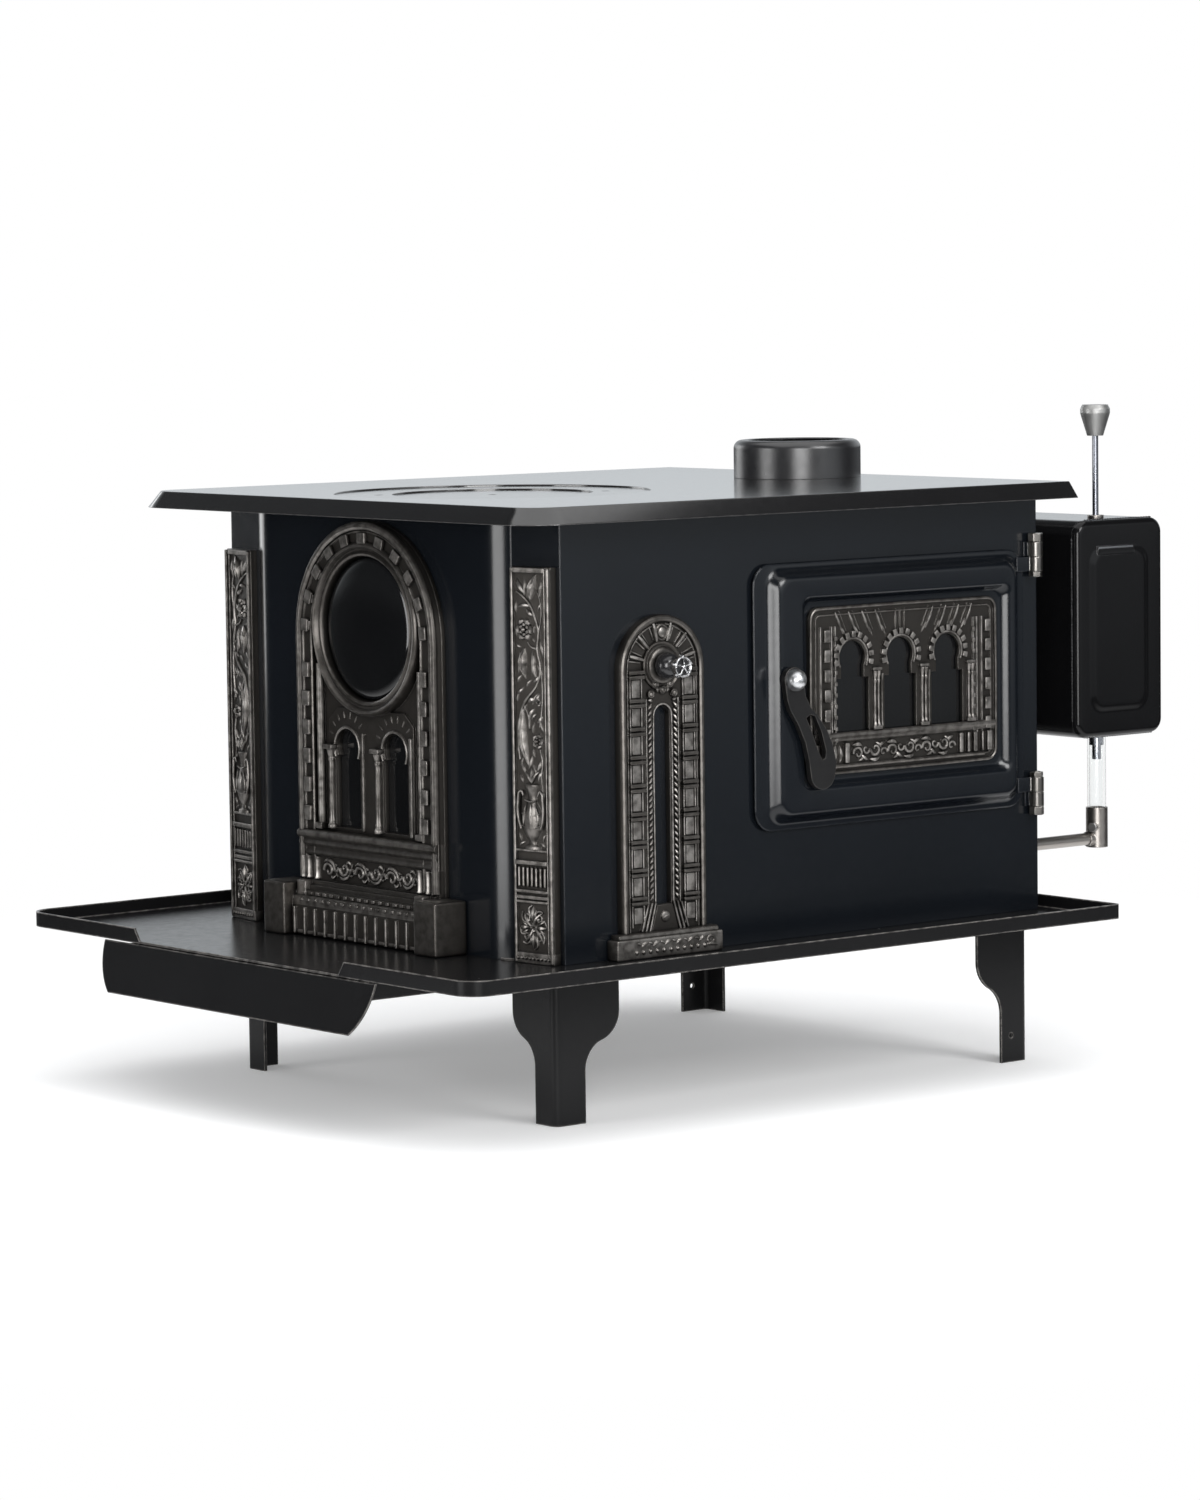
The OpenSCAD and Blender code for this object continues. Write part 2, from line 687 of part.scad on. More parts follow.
module door_casting() {
  x0 = xs + 7;
  y0 = dy0 + 62;
  y1 = dy1 - 41;
  z0 = dz0 + 48;
  z1 = dz0 + 205;
  ym = dy0 + 175.5;
  color([0.16, 0.15, 0.135]) at() difference() {
    union() {
      side(x0, 4) rr(y0, z0, y1, z1, 12);
      // double border
      side(x0 + 4, 3.5) difference() {
        rr(y0, z0, y1, z1, 12);
        rr(y0 + 4, z0 + 4, y1 - 4, z1 - 4, 8);
      }
      side(x0 + 4, 2.5) difference() {
        rr(y0 + 17, z0 + 6, y1 - 17, z1 - 8, 3);
        rr(y0 + 20, z0 + 9, y1 - 20, z1 - 11, 2);
      }
      // brick courses down both sides
      for (s = [y0 + 6, y1 - 15], i = [0:5]) translate([x0 + 4, s, z0 + 24 + i * 20]) cube([2.5, 9, 12]);
      // sloped roof ribs, four each way
      for (i = [0:3]) {
        translate([x0 + 4, y0 + 36 + i * 17, z1 - 12]) rotate([24, 0, 0]) translate([0, -1.5, -24])
          cube([3, 3, 24]);
        translate([x0 + 4, y1 - 36 - i * 17, z1 - 12]) rotate([-24, 0, 0]) translate([0, -1.5, -24])
          cube([3, 3, 24]);
      }
      // arch rims over the three lights
      for (s = [-1:1]) translate([x0 + 4, ym + s * 59.5, dz0 + 156]) rotate([0, 90, 0]) difference() {
        cylinder(r = 21, h = 2.5, $fn = 64);
        translate([0, -30, -1]) cube([30, 60, 5]);
      }
      // columns with caps and feet
      for (s = [-1.5:1:1.5]) translate([x0 + 4, ym + s * 59.5, z0]) {
        translate([0.8, 0, 36]) cylinder(r = 4.5, h = 52, $fn = 32);
        for (z = [32, 86]) translate([-1, -6, z]) cube([5.5, 12, 6]);
      }
      // moulding and panel band under the lights
      translate([x0 + 4, y0 + 18, z0 + 29]) cube([4, y1 - y0 - 36, 3]);
      translate([x0 + 4, y0 + 18, z0 + 6]) cube([3.5, y1 - y0 - 36, 3]);
      for (y = [y0 + 30, y1 - 48, y1 - 36, y1 - 26]) translate([x0 + 4, y, z0 + 7]) cube([3.5, 4, 23]);
    }
    for (s = [-1:1]) side(xs, 30) door_light_2d(ym + s * 59.5);
    translate([x0 - 1, 0, 0]) at_door_screws() cylinder(r = 2.53, h = 4.4, $fn = 32);
  }
}

module door_glass() {
  color([0.04, 0.05, 0.06]) at() side(xs + 1.5, 4) door_window_2d(8);
}

module door_liner() {
  color([0.10, 0.10, 0.105]) at() difference() {
    union() {
      side(xs + 2, 1.5) rr(dy0 + 3, dz0 + 3, dy1 - 3, dz1 - 3, 17);
      side(xs - 7, 10.5) rr(dy0 + 26, dz0 + 19, dy1 - 27, dz1 - 19, 12);
      translate([xs - 6, 0, 0]) at_door_screws() cylinder(r = 5, h = 11.5, $fn = 32);
    }
    // hollow of the pan, leaving the glass seat and the screw posts
    difference() {
      side(xs - 5.5, 12) rr(dy0 + 27.5, dz0 + 20.5, dy1 - 28.5, dz1 - 20.5, 10.5);
      side(xs - 6, 7.5) door_window_2d(6);
      translate([xs - 6, 0, 0]) at_door_screws() cylinder(r = 5, h = 11.5, $fn = 32);
    }
    side(xs - 8, 20) door_window_2d(4);
    xcyl(xs - 8, ky, kz, 4 + run, 20);
    translate([xs - 8, 0, 0]) at_door_screws() cylinder(r = 2.6, h = 20, $fn = 32);
  }
}

module door_screws() {
  color([0.45, 0.45, 0.46]) at() {
    translate([xs - 10, 0, 0]) at_door_screws() cylinder(r = 4.5, h = 3, $fn = 32);
    translate([xs - 8, 0, 0]) at_door_screws() cylinder(r = 2.5, h = 18, $fn = 32);
  }
}

module door_seal() {
  color([0.30, 0.29, 0.27]) at() side(xs + 0.3, 1.7) difference() {
    rr(dy0 + 10, dz0 + 4, dy1 - 10, dz1 - 4, 18);
    rr(dy0 + 17, dz0 + 11, dy1 - 17, dz1 - 11, 12);
  }
}

// One knuckle on the hinge line, bored for the pin.
module knuckle(z, h) {
  difference() {
    translate([hx, hy, z]) cylinder(r = 7, h = h, $fn = 48);
    translate([hx, hy, z - 1]) cylinder(r = pin_d / 2 + run, h = h + 2, $fn = 48);
  }
}

module hinge_door_leaves() {
  color([0.72, 0.71, 0.68]) at() for (z = [dz0 + 13.2, dz0 + 225]) {
    knuckle(z, 14);
    difference() {
      translate([xs + 5, dy1 - 9.6, z]) cube([2, hy - dy1 + 9.6, 14]);
      translate([hx, hy, z - 1]) cylinder(r = 6.5, h = 16, $fn = 48);
    }
  }
}

module hinge_case_leaves() {
  color([0.72, 0.71, 0.68]) at() for (z = [dz0 - 1, dz0 + 239.4]) {
    knuckle(z, 13.8);
    difference() {
      translate([xs, hy - 10, z]) cube([2, 17, 13.8]);
      translate([hx, hy, z - 1]) cylinder(r = 6.5, h = 16, $fn = 48);
    }
  }
}

module hinge_pins() {
  color([0.75, 0.74, 0.72]) at() {
    translate([hx, hy, dz0 + 219.5]) cylinder(r = pin_d / 2, h = 34, $fn = 48);
    translate([hx, hy, dz0 + 253.4]) hexa(7.3, 8);
    translate([hx, hy, dz0 - 1.2]) cylinder(r = pin_d / 2, h = 34, $fn = 48);
    translate([hx, hy, dz0 - 9.2]) hexa(7.3, 8);
  }
}

module hinge_nuts() {
  color([0.70, 0.69, 0.66]) at() for (z = [dz0 + 220, dz0 + 27.5]) translate([hx, hy, z]) difference() {
    hexa(6.6, 4.6);
    translate([0, 0, -1]) cylinder(r = pin_d / 2 + 0.02, h = 7, $fn = 48);
  }
}

// Latch lever: pivot disc, curved arm and rounded grip with a drop-shaped slot.
module latch_handle() {
  color([0.06, 0.06, 0.065]) at() translate([0, ky, kz]) {
    side(xs + 16.5, 6) difference() {
      union() {
        circle(r = 11.5, $fn = 64);
        translate([34, -89]) circle(r = 14.6, $fn = 64);
        polygon([[-11, -3], [-8.5, -18], [-5, -28], [4, -41], [13, -59], [17.5, -77], [19.5, -91],
          [34, -89], [48, -93], [50.5, -79], [45.5, -61], [39, -48.5], [27.5, -34], [20, -27],
          [13.5, -16], [11, 3]]);
      }
      polygon([[14, -36], [19, -33], [25, -35], [33, -51], [38, -68], [37, -75], [33, -76],
        [27.5, -66], [20, -48]]);
    }
    xcyl(xs + 13.8, 0, 0, 7.5, 3);
    xcyl(xs - 12, 0, 0, 4, 39);
  }
}

module latch_dome_nut() {
  color([0.80, 0.80, 0.82]) at() translate([xs + 22.5, ky, kz]) difference() {
    rotate([0, 90, 0]) rotate_extrude($fn = 64) intersection() {
      translate([0, 1.5]) circle(r = 10.2, $fn = 64);
      square([12, 12]);
    }
    xcyl(-1, 0, 0, 4.02, 5.7);
  }
}

module latch_tongue() {
  color([0.35, 0.35, 0.36]) at() translate([0, ky, kz]) rotate([-108, 0, 0]) difference() {
    union() {
      side(xs - 12, 4) translate([0, -4.5]) square([21.5, 9]);
      xcyl(xs - 12, 21.5, 0, 4.5, 4);
      xcyl(xs - 12, 0, 0, 8, 4);
    }
    xcyl(xs - 13, 0, 0, 4.02, 6);
  }
}

module latch_catch() {
  color([0.35, 0.35, 0.36]) at() translate([xs - 7.6, dy0 + 6, kz - 24]) cube([7.6 - t, 13, 27]);
}

module tank_2d(g) {
  rr(ty0 + g, tz0 + g, ty1 - g, tz1 - g, 14 - g);
}

module tank_body() {
  color([0.05, 0.05, 0.055]) at() difference() {
    side(tx0 + 7, tank_len - 14) difference() {
      tank_2d(0);
      tank_2d(1.5);
    }
    cyl(vx, tym, tz1 - 4, 6.03, 8);
    cyl(vx, tym, tz0 - 4, 7.03, 8);
    cyl(tx0 + 85, tym, tz1 - 4, 18.5, 8);
  }
}

// Pressed end pan with a rounded rim, open towards +X = 0, face at x = 7.
module pan_form(d) {
  r = 6 - d;
  translate([-1, 0, 0]) side(0, 2) tank_2d(d);
  side(-1, 2 + r - 5 + 4 - d) tank_2d(d);
  side(-1, 8 - d) tank_2d(6);
  for (y = [ty0 + 6, ty1 - 6]) translate([1, y, tz0 + 14]) cylinder(r = r, h = tank_h - 28, $fn = 48);
  for (z = [tz0 + 6, tz1 - 6]) translate([1, ty0 + 14, z]) rotate([-90, 0, 0])
    cylinder(r = r, h = tank_t - 28, $fn = 48);
  for (y = [ty0 + 14, ty1 - 14], z = [tz0 + 14, tz1 - 14]) translate([1, y, z]) rotate([0, 90, 0])
    rotate_extrude($fn = 48) translate([8, 0]) circle(r = r, $fn = 48);
}

module tank_cap() {
  difference() {
    union() {
      difference() {
        pan_form(0);
        side(-10, 10) tank_2d(-1);
      }
      // raised centre panel and the pressed label ledge
      side(6, 2.4) rr(tym - 39, tz0 + 26, tym + 35, tz1 - 28, 14);
      side(7, 2) rr(tym - 32, tz1 - 34, tym + 17, tz1 - 25, 3);
    }
    difference() {
      pan_form(1.5);
      translate([6.9, 0, 0]) side(0, 5) tank_2d(-1);
    }
    side(8.4, 3) rr(tym - 30, tz1 - 32, tym + 15, tz1 - 27, 2);
  }
}

module tank_cap_right() {
  color([0.05, 0.05, 0.055]) at() translate([tx1 - 7, 0, 0]) tank_cap();
}

module tank_cap_left() {
  color([0.05, 0.05, 0.055]) at() translate([tx0 + 7, 0, 0]) mirror([1, 0, 0]) tank_cap();
}

module tank_brackets() {
  color([0.09, 0.09, 0.095]) at() for (x = [tx0 + 85, tx1 - 105]) difference() {
    union() {
      translate([x - 12, yr, tz0 - 3]) cube([24, 2.5, 78]);
      translate([x - 12, yr, tz0 - 3]) cube([24, ty1 - yr - 8, 3]);
    }
    for (z = [tz0 + 18, tz0 + 60]) ycyl(x, yr + 6, z, 2.6, 12);
  }
}

module bracket_screws() {
  color([0.45, 0.45, 0.46]) at() bracket_pos() {
    translate([0, 5.5, 0]) rotate([90, 0, 0]) hexa(4.8, 3);
    translate([0, 5, 0]) rotate([90, 0, 0]) cylinder(r = 2.5, h = 14, $fn = 32);
  }
}

module filler_neck() {
  color([0.40, 0.40, 0.41]) at() translate([tx0 + 85, tym, tz1]) difference() {
    union() {
      cylinder(r = 20, h = 16, $fn = 64);
      cylinder(r = 26, h = 1.5, $fn = 64);
    }
    translate([0, 0, -1]) cylinder(r = 18.5, h = 20, $fn = 64);
  }
}

module filler_cap() {
  color([0.06, 0.06, 0.065]) at() translate([tx0 + 85, tym, tz1]) difference() {
    union() {
      translate([0, 0, 4]) cylinder(r = 23, h = 15, $fn = 64);
      translate([0, 0, 19]) cylinder(r = 20, h = 2, $fn = 64);
    }
    translate([0, 0, 3]) cylinder(r = 20.4, h = 13.3, $fn = 64);
    for (a = [0:30:330]) translate([24.2 * cos(a), 24.2 * sin(a), 3]) cylinder(r = 2.4, h = 20, $fn = 32);
  }
}

module valve_gland() {
  color([0.62, 0.60, 0.56]) at() translate([vx, tym, tz1]) difference() {
    union() {
      cylinder(r = 8, h = 3, $fn = 48);
      translate([0, 0, -10]) cylinder(r = 6, h = 11, $fn = 48);
    }
    translate([0, 0, -11]) cylinder(r = rod_d / 2 + run, h = 16, $fn = 48);
  }
}

module valve_rod() {
  color([0.70, 0.70, 0.71]) at() translate([vx, tym, tz0]) union() {
    translate([0, 0, 11]) cylinder(r = rod_d / 2, h = tank_h + 84, $fn = 48);
    translate([0, 0, 7]) cylinder(r1 = 1.2, r2 = rod_d / 2, h = 4, $fn = 48);
  }
}

module valve_knob() {
  r = rod_d / 2 + run;
  color([0.72, 0.72, 0.71]) at() translate([vx, tym, tz0 + tank_h + 80]) rotate_extrude($fn = 96)
    polygon([[r, 0], [7.8, 0], [8.4, 2], [13.6, 19], [14.4, 22], [14.4, 26], [12.4, 30], [0, 30],
      [0, 17], [r, 17]]);
}

module drip_nozzle() {
  color([0.30, 0.31, 0.36]) at() translate([vx, tym, tz0]) difference() {
    union() {
      translate([0, 0, 1.5]) cylinder(r = 9, h = 4.5, $fn = 48);
      translate([0, 0, -11]) cylinder(r = 7, h = 13, $fn = 48);
      translate([0, 0, -25]) cylinder(r = 4.4, h = 15, $fn = 48);
    }
    translate([0, 0, -26]) cylinder(r = 1.6, h = 40, $fn = 32);
    translate([0, 0, -26]) cylinder(r = 3, h = 14, $fn = 32);
  }
}

module sight_tube() {
  color([0.82, 0.88, 0.90]) at() translate([vx, tym, zl + 86]) difference() {
    cylinder(r = tube_d / 2, h = tz0 - zl - 86.5, $fn = 64);
    translate([0, 0, -1]) cylinder(r = 7.03, h = 100, $fn = 64);
  }
}

module feed_socket() {
  color([0.55, 0.52, 0.48]) at() translate([vx, tym, zl]) difference() {
    union() {
      translate([0, 0, 54]) cylinder(r = tube_d / 2 + 1.6, h = 39, $fn = 64);
      ycyl(0, 0, 62.5, 7, 14);
      translate([0, 0, 74.4]) rotate([90, 0, 29]) cylinder(r = 4.5, h = 12.5, $fn = 32);
    }
    translate([0, 0, 86]) cylinder(r = tube_d / 2 + 0.03, h = 20, $fn = 64);
    translate([0, 0, 57]) cylinder(r = 7, h = 40, $fn = 64);
    ycyl(0, 0, 62.5, 4.5, 20);
    translate([0, 0, 74.4]) rotate([90, 0, 29]) cylinder(r = 2.52, h = 20, $fn = 32);
  }
}

module plug_screw() {
  color([0.72, 0.70, 0.66]) at() translate([vx, tym, zl + 74.4]) rotate([90, 0, 29]) {
    translate([0, 0, 7.4]) cylinder(r = 2.5, h = 6, $fn = 32);
    translate([0, 0, 12.5]) hexa(4.8, 4);
  }
}

module feed_pipe() {
  y0 = tym - 14;
  y1 = yr - 100;
  color([0.58, 0.54, 0.49]) at() translate([0, 0, pz]) difference() {
    union() {
      translate([vx, y0, 0]) rotate([90, 0, 0]) cylinder(r = 6, h = y0 - y1, $fn = 48);
      translate([vx - 20, y1, 0]) rotate([0, 0, -90]) rotate_extrude(angle = 90, $fn = 96)
        translate([20, 0]) circle(r = 6, $fn = 48);
      translate([60, y1 - 20, 0]) rotate([0, 90, 0]) cylinder(r = 6, h = vx - 80, $fn = 48);
    }
    translate([vx, y0 + 1, 0]) rotate([90, 0, 0]) cylinder(r = 4.5, h = y0 - y1 + 1, $fn = 48);
    translate([vx - 20, y1, 0]) rotate([0, 0, -90]) rotate_extrude(angle = 90, $fn = 96)
      translate([20, 0]) circle(r = 4.5, $fn = 48);
    translate([59, y1 - 20, 0]) rotate([0, 90, 0]) cylinder(r = 4.5, h = vx - 79, $fn = 48);
  }
}

module burner_pot() {
  color([0.14, 0.14, 0.145]) at() translate([0, yr - 130, zl + 24]) rotate_extrude($fn = 96) union() {
    square([82, 3]);
    translate([82, 0]) square([3, 28]);
    translate([82, 25]) square([7, 3]);
    translate([34, 0]) square([3, 12]);
  }
}

module grate() {
  color([0.13, 0.13, 0.135]) at() translate([0, yr - 130, zb + 2]) difference() {
    union() {
      translate([0, 0, 12]) linear_extrude(8) rr(-150, -118, 150, 118, 14);
      for (x = [-130, 130], y = [-98, 98]) translate([x, y, 0]) cylinder(r = 9, h = 13, $fn = 32);
    }
    for (i = [-5:5]) translate([i * 25 - 5, -95, 10]) cube([10, 190, 12]);
  }
}

module baffle() {
  color([0.10, 0.10, 0.105]) at() translate([0, 0, zl + 346]) linear_extrude(2)
    rr(-xs + t + 2.3, yr - 270, xs - t - 2.3, yr - 16, 4);
}

module baffle_ledges() {
  color([0.10, 0.10, 0.105]) at() for (m = [0, 1]) mirror([m, 0, 0]) {
    translate([xs - t - 14, yr - 262, zl + 344]) cube([14, 244, 2]);
    translate([xs - t - 2, yr - 262, zl + 344]) cube([2, 244, 18]);
  }
}

module ash_drawer() {
  y1 = 8;
  h = drawer_half;
  color([0.10, 0.105, 0.11]) at() {
    // leaning front with arc-shaped ends
    intersection() {
      side(-230, 460) polygon([[-tray_front - 1, zl - 1], [-tray_front + 1, zl - 1], [y_front + 2, zl - 48],
        [y_front, zl - 48]]);
      face(0, 400) union() {
        translate([-155, zl - 48]) square([310, 48]);
        for (s = [-1, 1]) translate([s * 155, zl]) circle(r = 60, $fn = 128);
      }
    }
    difference() {
      side(-h, 2 * h) polygon([[-tray_front - 0.5, zl - 2.2], [-tray_front - 6.5, zl - 22],
        [y1, zl - 22], [y1, zl - 2.2]]);
      side(-h + 1.5, 2 * h - 3) polygon([[-tray_front + 1.8, zl], [-tray_front - 4, zl - 20.5],
        [y1 - 1.5, zl - 20.5], [y1 - 1.5, zl]]);
    }
    for (s = [-1, 1]) translate([s * (h + 3.5) - 4, -tray_front + 4, zl - 4])
      cube([8, tray_front - 4 + y1, 1.8]);
  }
}

module drawer_rails() {
  h = drawer_half;
  color([0.09, 0.09, 0.095]) at() for (m = [0, 1]) mirror([m, 0, 0]) {
    translate([h + 2, -tray_front + 13, zl - 6.3]) cube([8, tray_front - 3, 2]);
    translate([h + 8, -tray_front + 13, zl - 6.3]) cube([2, tray_front - 3, 6.3]);
  }
}

hearth_tray();
leg_front_right();
leg_front_left();
leg_rear_right();
leg_rear_left();
leg_bolts();
leg_nuts();
floor_panel();
casing();
back_panel();
top_plate();
flue_collar();
cook_ring();
cook_lid();
front_arch();
window_glass();
window_keeper();
niche_glass();
corner_strip_right();
corner_strip_left();
side_arch();
panel_nuts();
air_knob();
air_shutter();
door_skin();
door_casting();
door_glass();
door_liner();
door_screws();
door_seal();
hinge_door_leaves();
hinge_case_leaves();
hinge_pins();
hinge_nuts();
latch_handle();
latch_dome_nut();
latch_tongue();
latch_catch();
tank_body();
tank_cap_right();
tank_cap_left();
tank_brackets();
bracket_screws();
filler_neck();
filler_cap();
valve_gland();
valve_rod();
valve_knob();
drip_nozzle();
sight_tube();
feed_socket();
plug_screw();
feed_pipe();
burner_pot();
grate();
baffle();
baffle_ledges();
ash_drawer();
drawer_rails();
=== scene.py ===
import math

import bmesh
import bpy
from mathutils import Matrix, Vector


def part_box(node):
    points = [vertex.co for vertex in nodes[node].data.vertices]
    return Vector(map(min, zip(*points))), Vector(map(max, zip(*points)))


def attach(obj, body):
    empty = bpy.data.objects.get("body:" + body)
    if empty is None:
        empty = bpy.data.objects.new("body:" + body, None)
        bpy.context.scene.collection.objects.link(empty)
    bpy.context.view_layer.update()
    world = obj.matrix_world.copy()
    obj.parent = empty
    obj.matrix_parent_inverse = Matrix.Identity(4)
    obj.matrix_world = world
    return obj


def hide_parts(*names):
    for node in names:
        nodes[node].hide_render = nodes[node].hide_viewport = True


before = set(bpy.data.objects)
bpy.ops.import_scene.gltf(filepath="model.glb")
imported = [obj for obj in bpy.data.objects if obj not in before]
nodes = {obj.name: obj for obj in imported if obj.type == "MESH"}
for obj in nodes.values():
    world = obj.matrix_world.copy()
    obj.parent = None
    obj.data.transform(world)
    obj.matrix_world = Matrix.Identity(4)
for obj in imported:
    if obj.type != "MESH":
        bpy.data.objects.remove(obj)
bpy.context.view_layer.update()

# Camera. A long lens stands off the front right corner, a little above the hearth tray,
# and takes the whole stove in from there.
lens_right = Vector((0.6269, 0.7790, -0.0132)).normalized()
lens_back = Vector((0.7764, -0.6233, 0.0932)).normalized()
lens_up = lens_back.cross(lens_right).normalized()
lens_right = lens_up.cross(lens_back).normalized()
camera = bpy.data.objects.new("camera", bpy.data.cameras.new("camera"))
camera.data.sensor_fit = "HORIZONTAL"
camera.data.sensor_width = 36.0
camera.data.lens = 157.13
camera.matrix_world = Matrix.Translation((3.9032, -3.1544, 0.7771)) @ Matrix((
    (lens_right.x, lens_up.x, lens_back.x, 0),
    (lens_right.y, lens_up.y, lens_back.y, 0),
    (lens_right.z, lens_up.z, lens_back.z, 0),
    (0, 0, 0, 1)))
bpy.context.scene.collection.objects.link(camera)
bpy.context.scene.camera = camera
bpy.context.scene.view_settings.view_transform = "Standard"

# Room. White to the camera and through glass. In polished faces the white backdrop shows behind
# the stove, opposite the camera, with a soft glow on the right and a dim studio elsewhere.
def added(tree, kind, inputs=None, **settings):
    """A new shader node: each input is wired to the socket it is given, or set to the value."""
    new = tree.nodes.new("ShaderNode" + kind)
    for setting, value in settings.items():
        setattr(new, setting, value)
    for place, value in (inputs or {}).items():
        if isinstance(value, bpy.types.NodeSocket):
            tree.links.new(value, new.inputs[place])
        else:
            new.inputs[place].default_value = value
    return new


world = bpy.data.worlds.new("pale_room")
bpy.context.scene.world = world
world.use_nodes = True
sky = world.node_tree
sky.nodes.clear()
sky_way = added(sky, "TexCoord").outputs["Generated"]
sky_up = added(sky, "SeparateXYZ", {0: sky_way}).outputs["Z"]
sky_lift = added(sky, "Math", {0: sky_up, 1: 0.1}, operation="ADD")
sky_height = added(sky, "ValToRGB", {"Fac": sky_lift.outputs[0]})
sky_height.color_ramp.interpolation = "EASE"
sky_height.color_ramp.elements[0].position = 0.07
sky_height.color_ramp.elements[0].color = (0.10, 0.10, 0.10, 1)
sky_height.color_ramp.elements[1].position = 0.17
sky_height.color_ramp.elements[1].color = (1, 1, 1, 1)
for up, tone in ((0.40, 1.0), (0.66, 0.12)):
    sky_height.color_ramp.elements.new(up).color = (tone, tone, tone, 1)
sky_behind = added(sky, "VectorMath", {0: sky_way, 1: (-0.78, 0.62, 0.0)}, operation="DOT_PRODUCT")
sky_back = added(sky, "MapRange", {"Value": sky_behind.outputs["Value"], "From Min": 0.30, "From Max": 0.75,
                                   "To Min": 0.06, "To Max": 1.0}, interpolation_type="SMOOTHSTEP")
sky_drop = added(sky, "Math", {0: sky_height.outputs[0], 1: sky_back.outputs[0]}, operation="MULTIPLY")
sky_beside = added(sky, "VectorMath", {0: sky_way, 1: (0.93, 0.36, 0.0)}, operation="DOT_PRODUCT")
sky_glow = added(sky, "MapRange", {"Value": sky_beside.outputs["Value"], "From Min": 0.82, "From Max": 1.0},
                 interpolation_type="SMOOTHSTEP")
sky_low = added(sky, "MapRange", {"Value": sky_up, "From Min": -0.16, "From Max": 0.02},
                interpolation_type="SMOOTHSTEP")
sky_side = added(sky, "Math", {0: sky_glow.outputs[0], 1: sky_low.outputs[0]}, operation="MULTIPLY")
sky_sum = added(sky, "Math", {0: sky_drop.outputs[0], 1: sky_side.outputs[0]}, operation="ADD")
sky_white = added(sky, "Background", {"Color": (1, 1, 1, 1)})
sky_fill = added(sky, "Background", {"Color": (0.95, 0.97, 1.0, 1), "Strength": 0.40})
sky_gloss = added(sky, "Background", {"Color": (0.92, 0.965, 1.0, 1), "Strength": sky_sum.outputs[0]})
sky_path = added(sky, "LightPath").outputs
sky_by_gloss = added(sky, "MixShader", {"Fac": sky_path["Is Glossy Ray"], 1: sky_fill.outputs[0],
                                        2: sky_gloss.outputs[0]})
sky_seen = added(sky, "Math", {0: sky_path["Is Camera Ray"], 1: sky_path["Is Transmission Ray"]},
                 operation="MAXIMUM")
sky_by_sight = added(sky, "MixShader", {"Fac": sky_seen.outputs[0], 1: sky_by_gloss.outputs[0],
                                        2: sky_white.outputs[0]})
added(sky, "OutputWorld", {"Surface": sky_by_sight.outputs[0]})

# Soft boxes. A square one left of the camera lights the rolled front edges, one stands beside the
# camera, one on the right lights the raised iron, one is far left and a broad one overhead.
for name, place, aim, width, height, power in (
        ("left_box", (-0.52, -3.90, 0.55), (0.2, -0.28, 0.4), 1.7, 1.7, 56),
        ("front_box", (3.3, -2.0, 0.75), (0.1, 0.0, 0.4), 1.6, 1.7, 80),
        ("right_box", (4.0, 0.4, 2.3), (0, -0.1, 0.4), 1.8, 1.4, 90),
        ("far_box", (-3.5, -0.3, 0.9), (0, -0.2, 0.4), 1.4, 1.6, 16),
        ("roof_box", (0.3, -0.2, 3.4), (0, 0.0, 0.3), 5.0, 5.0, 120)):
    lamp = bpy.data.objects.new(name, bpy.data.lights.new(name, "AREA"))
    lamp.data.shape = "RECTANGLE"
    lamp.data.size = width
    lamp.data.size_y = height
    lamp.data.energy = power
    lamp.location = place
    lamp.rotation_euler = (Vector(aim) - Vector(place)).to_track_quat("-Z", "Y").to_euler()
    bpy.context.scene.collection.objects.link(lamp)

# Floor. A plain pale sheet under the feet that fades out into the white of the room.
floor_mesh = bmesh.new()
bmesh.ops.create_grid(floor_mesh, x_segments=1, y_segments=1, size=2.6)
floor_data = bpy.data.meshes.new("floor")
floor_mesh.to_mesh(floor_data)
floor_mesh.free()
floor = bpy.data.objects.new("floor", floor_data)
bpy.context.scene.collection.objects.link(floor)
floor_paint = bpy.data.materials.new("pale_floor")
floor_paint.use_nodes = True
floor_tree = floor_paint.node_tree
floor_skin = floor_tree.nodes["Principled BSDF"]
floor_skin.inputs["Base Color"].default_value = (0.90, 0.90, 0.90, 1)
floor_skin.inputs["Roughness"].default_value = 0.9
floor_skin.inputs["Specular IOR Level"].default_value = 0.1
floor_skin.inputs["Emission Color"].default_value = (1, 1, 1, 1)
floor_skin.inputs["Emission Strength"].default_value = 0.22
floor_place = added(floor_tree, "TexCoord").outputs["Object"]
floor_reach = added(floor_tree, "VectorMath", {0: floor_place}, operation="LENGTH")
floor_fade = added(floor_tree, "MapRange", {"Value": floor_reach.outputs["Value"], "From Min": 0.6,
                                            "From Max": 1.5}, interpolation_type="SMOOTHSTEP")
floor_gone = added(floor_tree, "BsdfTransparent")
floor_blend = added(floor_tree, "MixShader", {"Fac": floor_fade.outputs[0], 1: floor_skin.outputs[0],
                                              2: floor_gone.outputs[0]})
floor_tree.links.new(floor_blend.outputs[0], floor_tree.nodes["Material Output"].inputs["Surface"])
floor_data.materials.append(floor_paint)


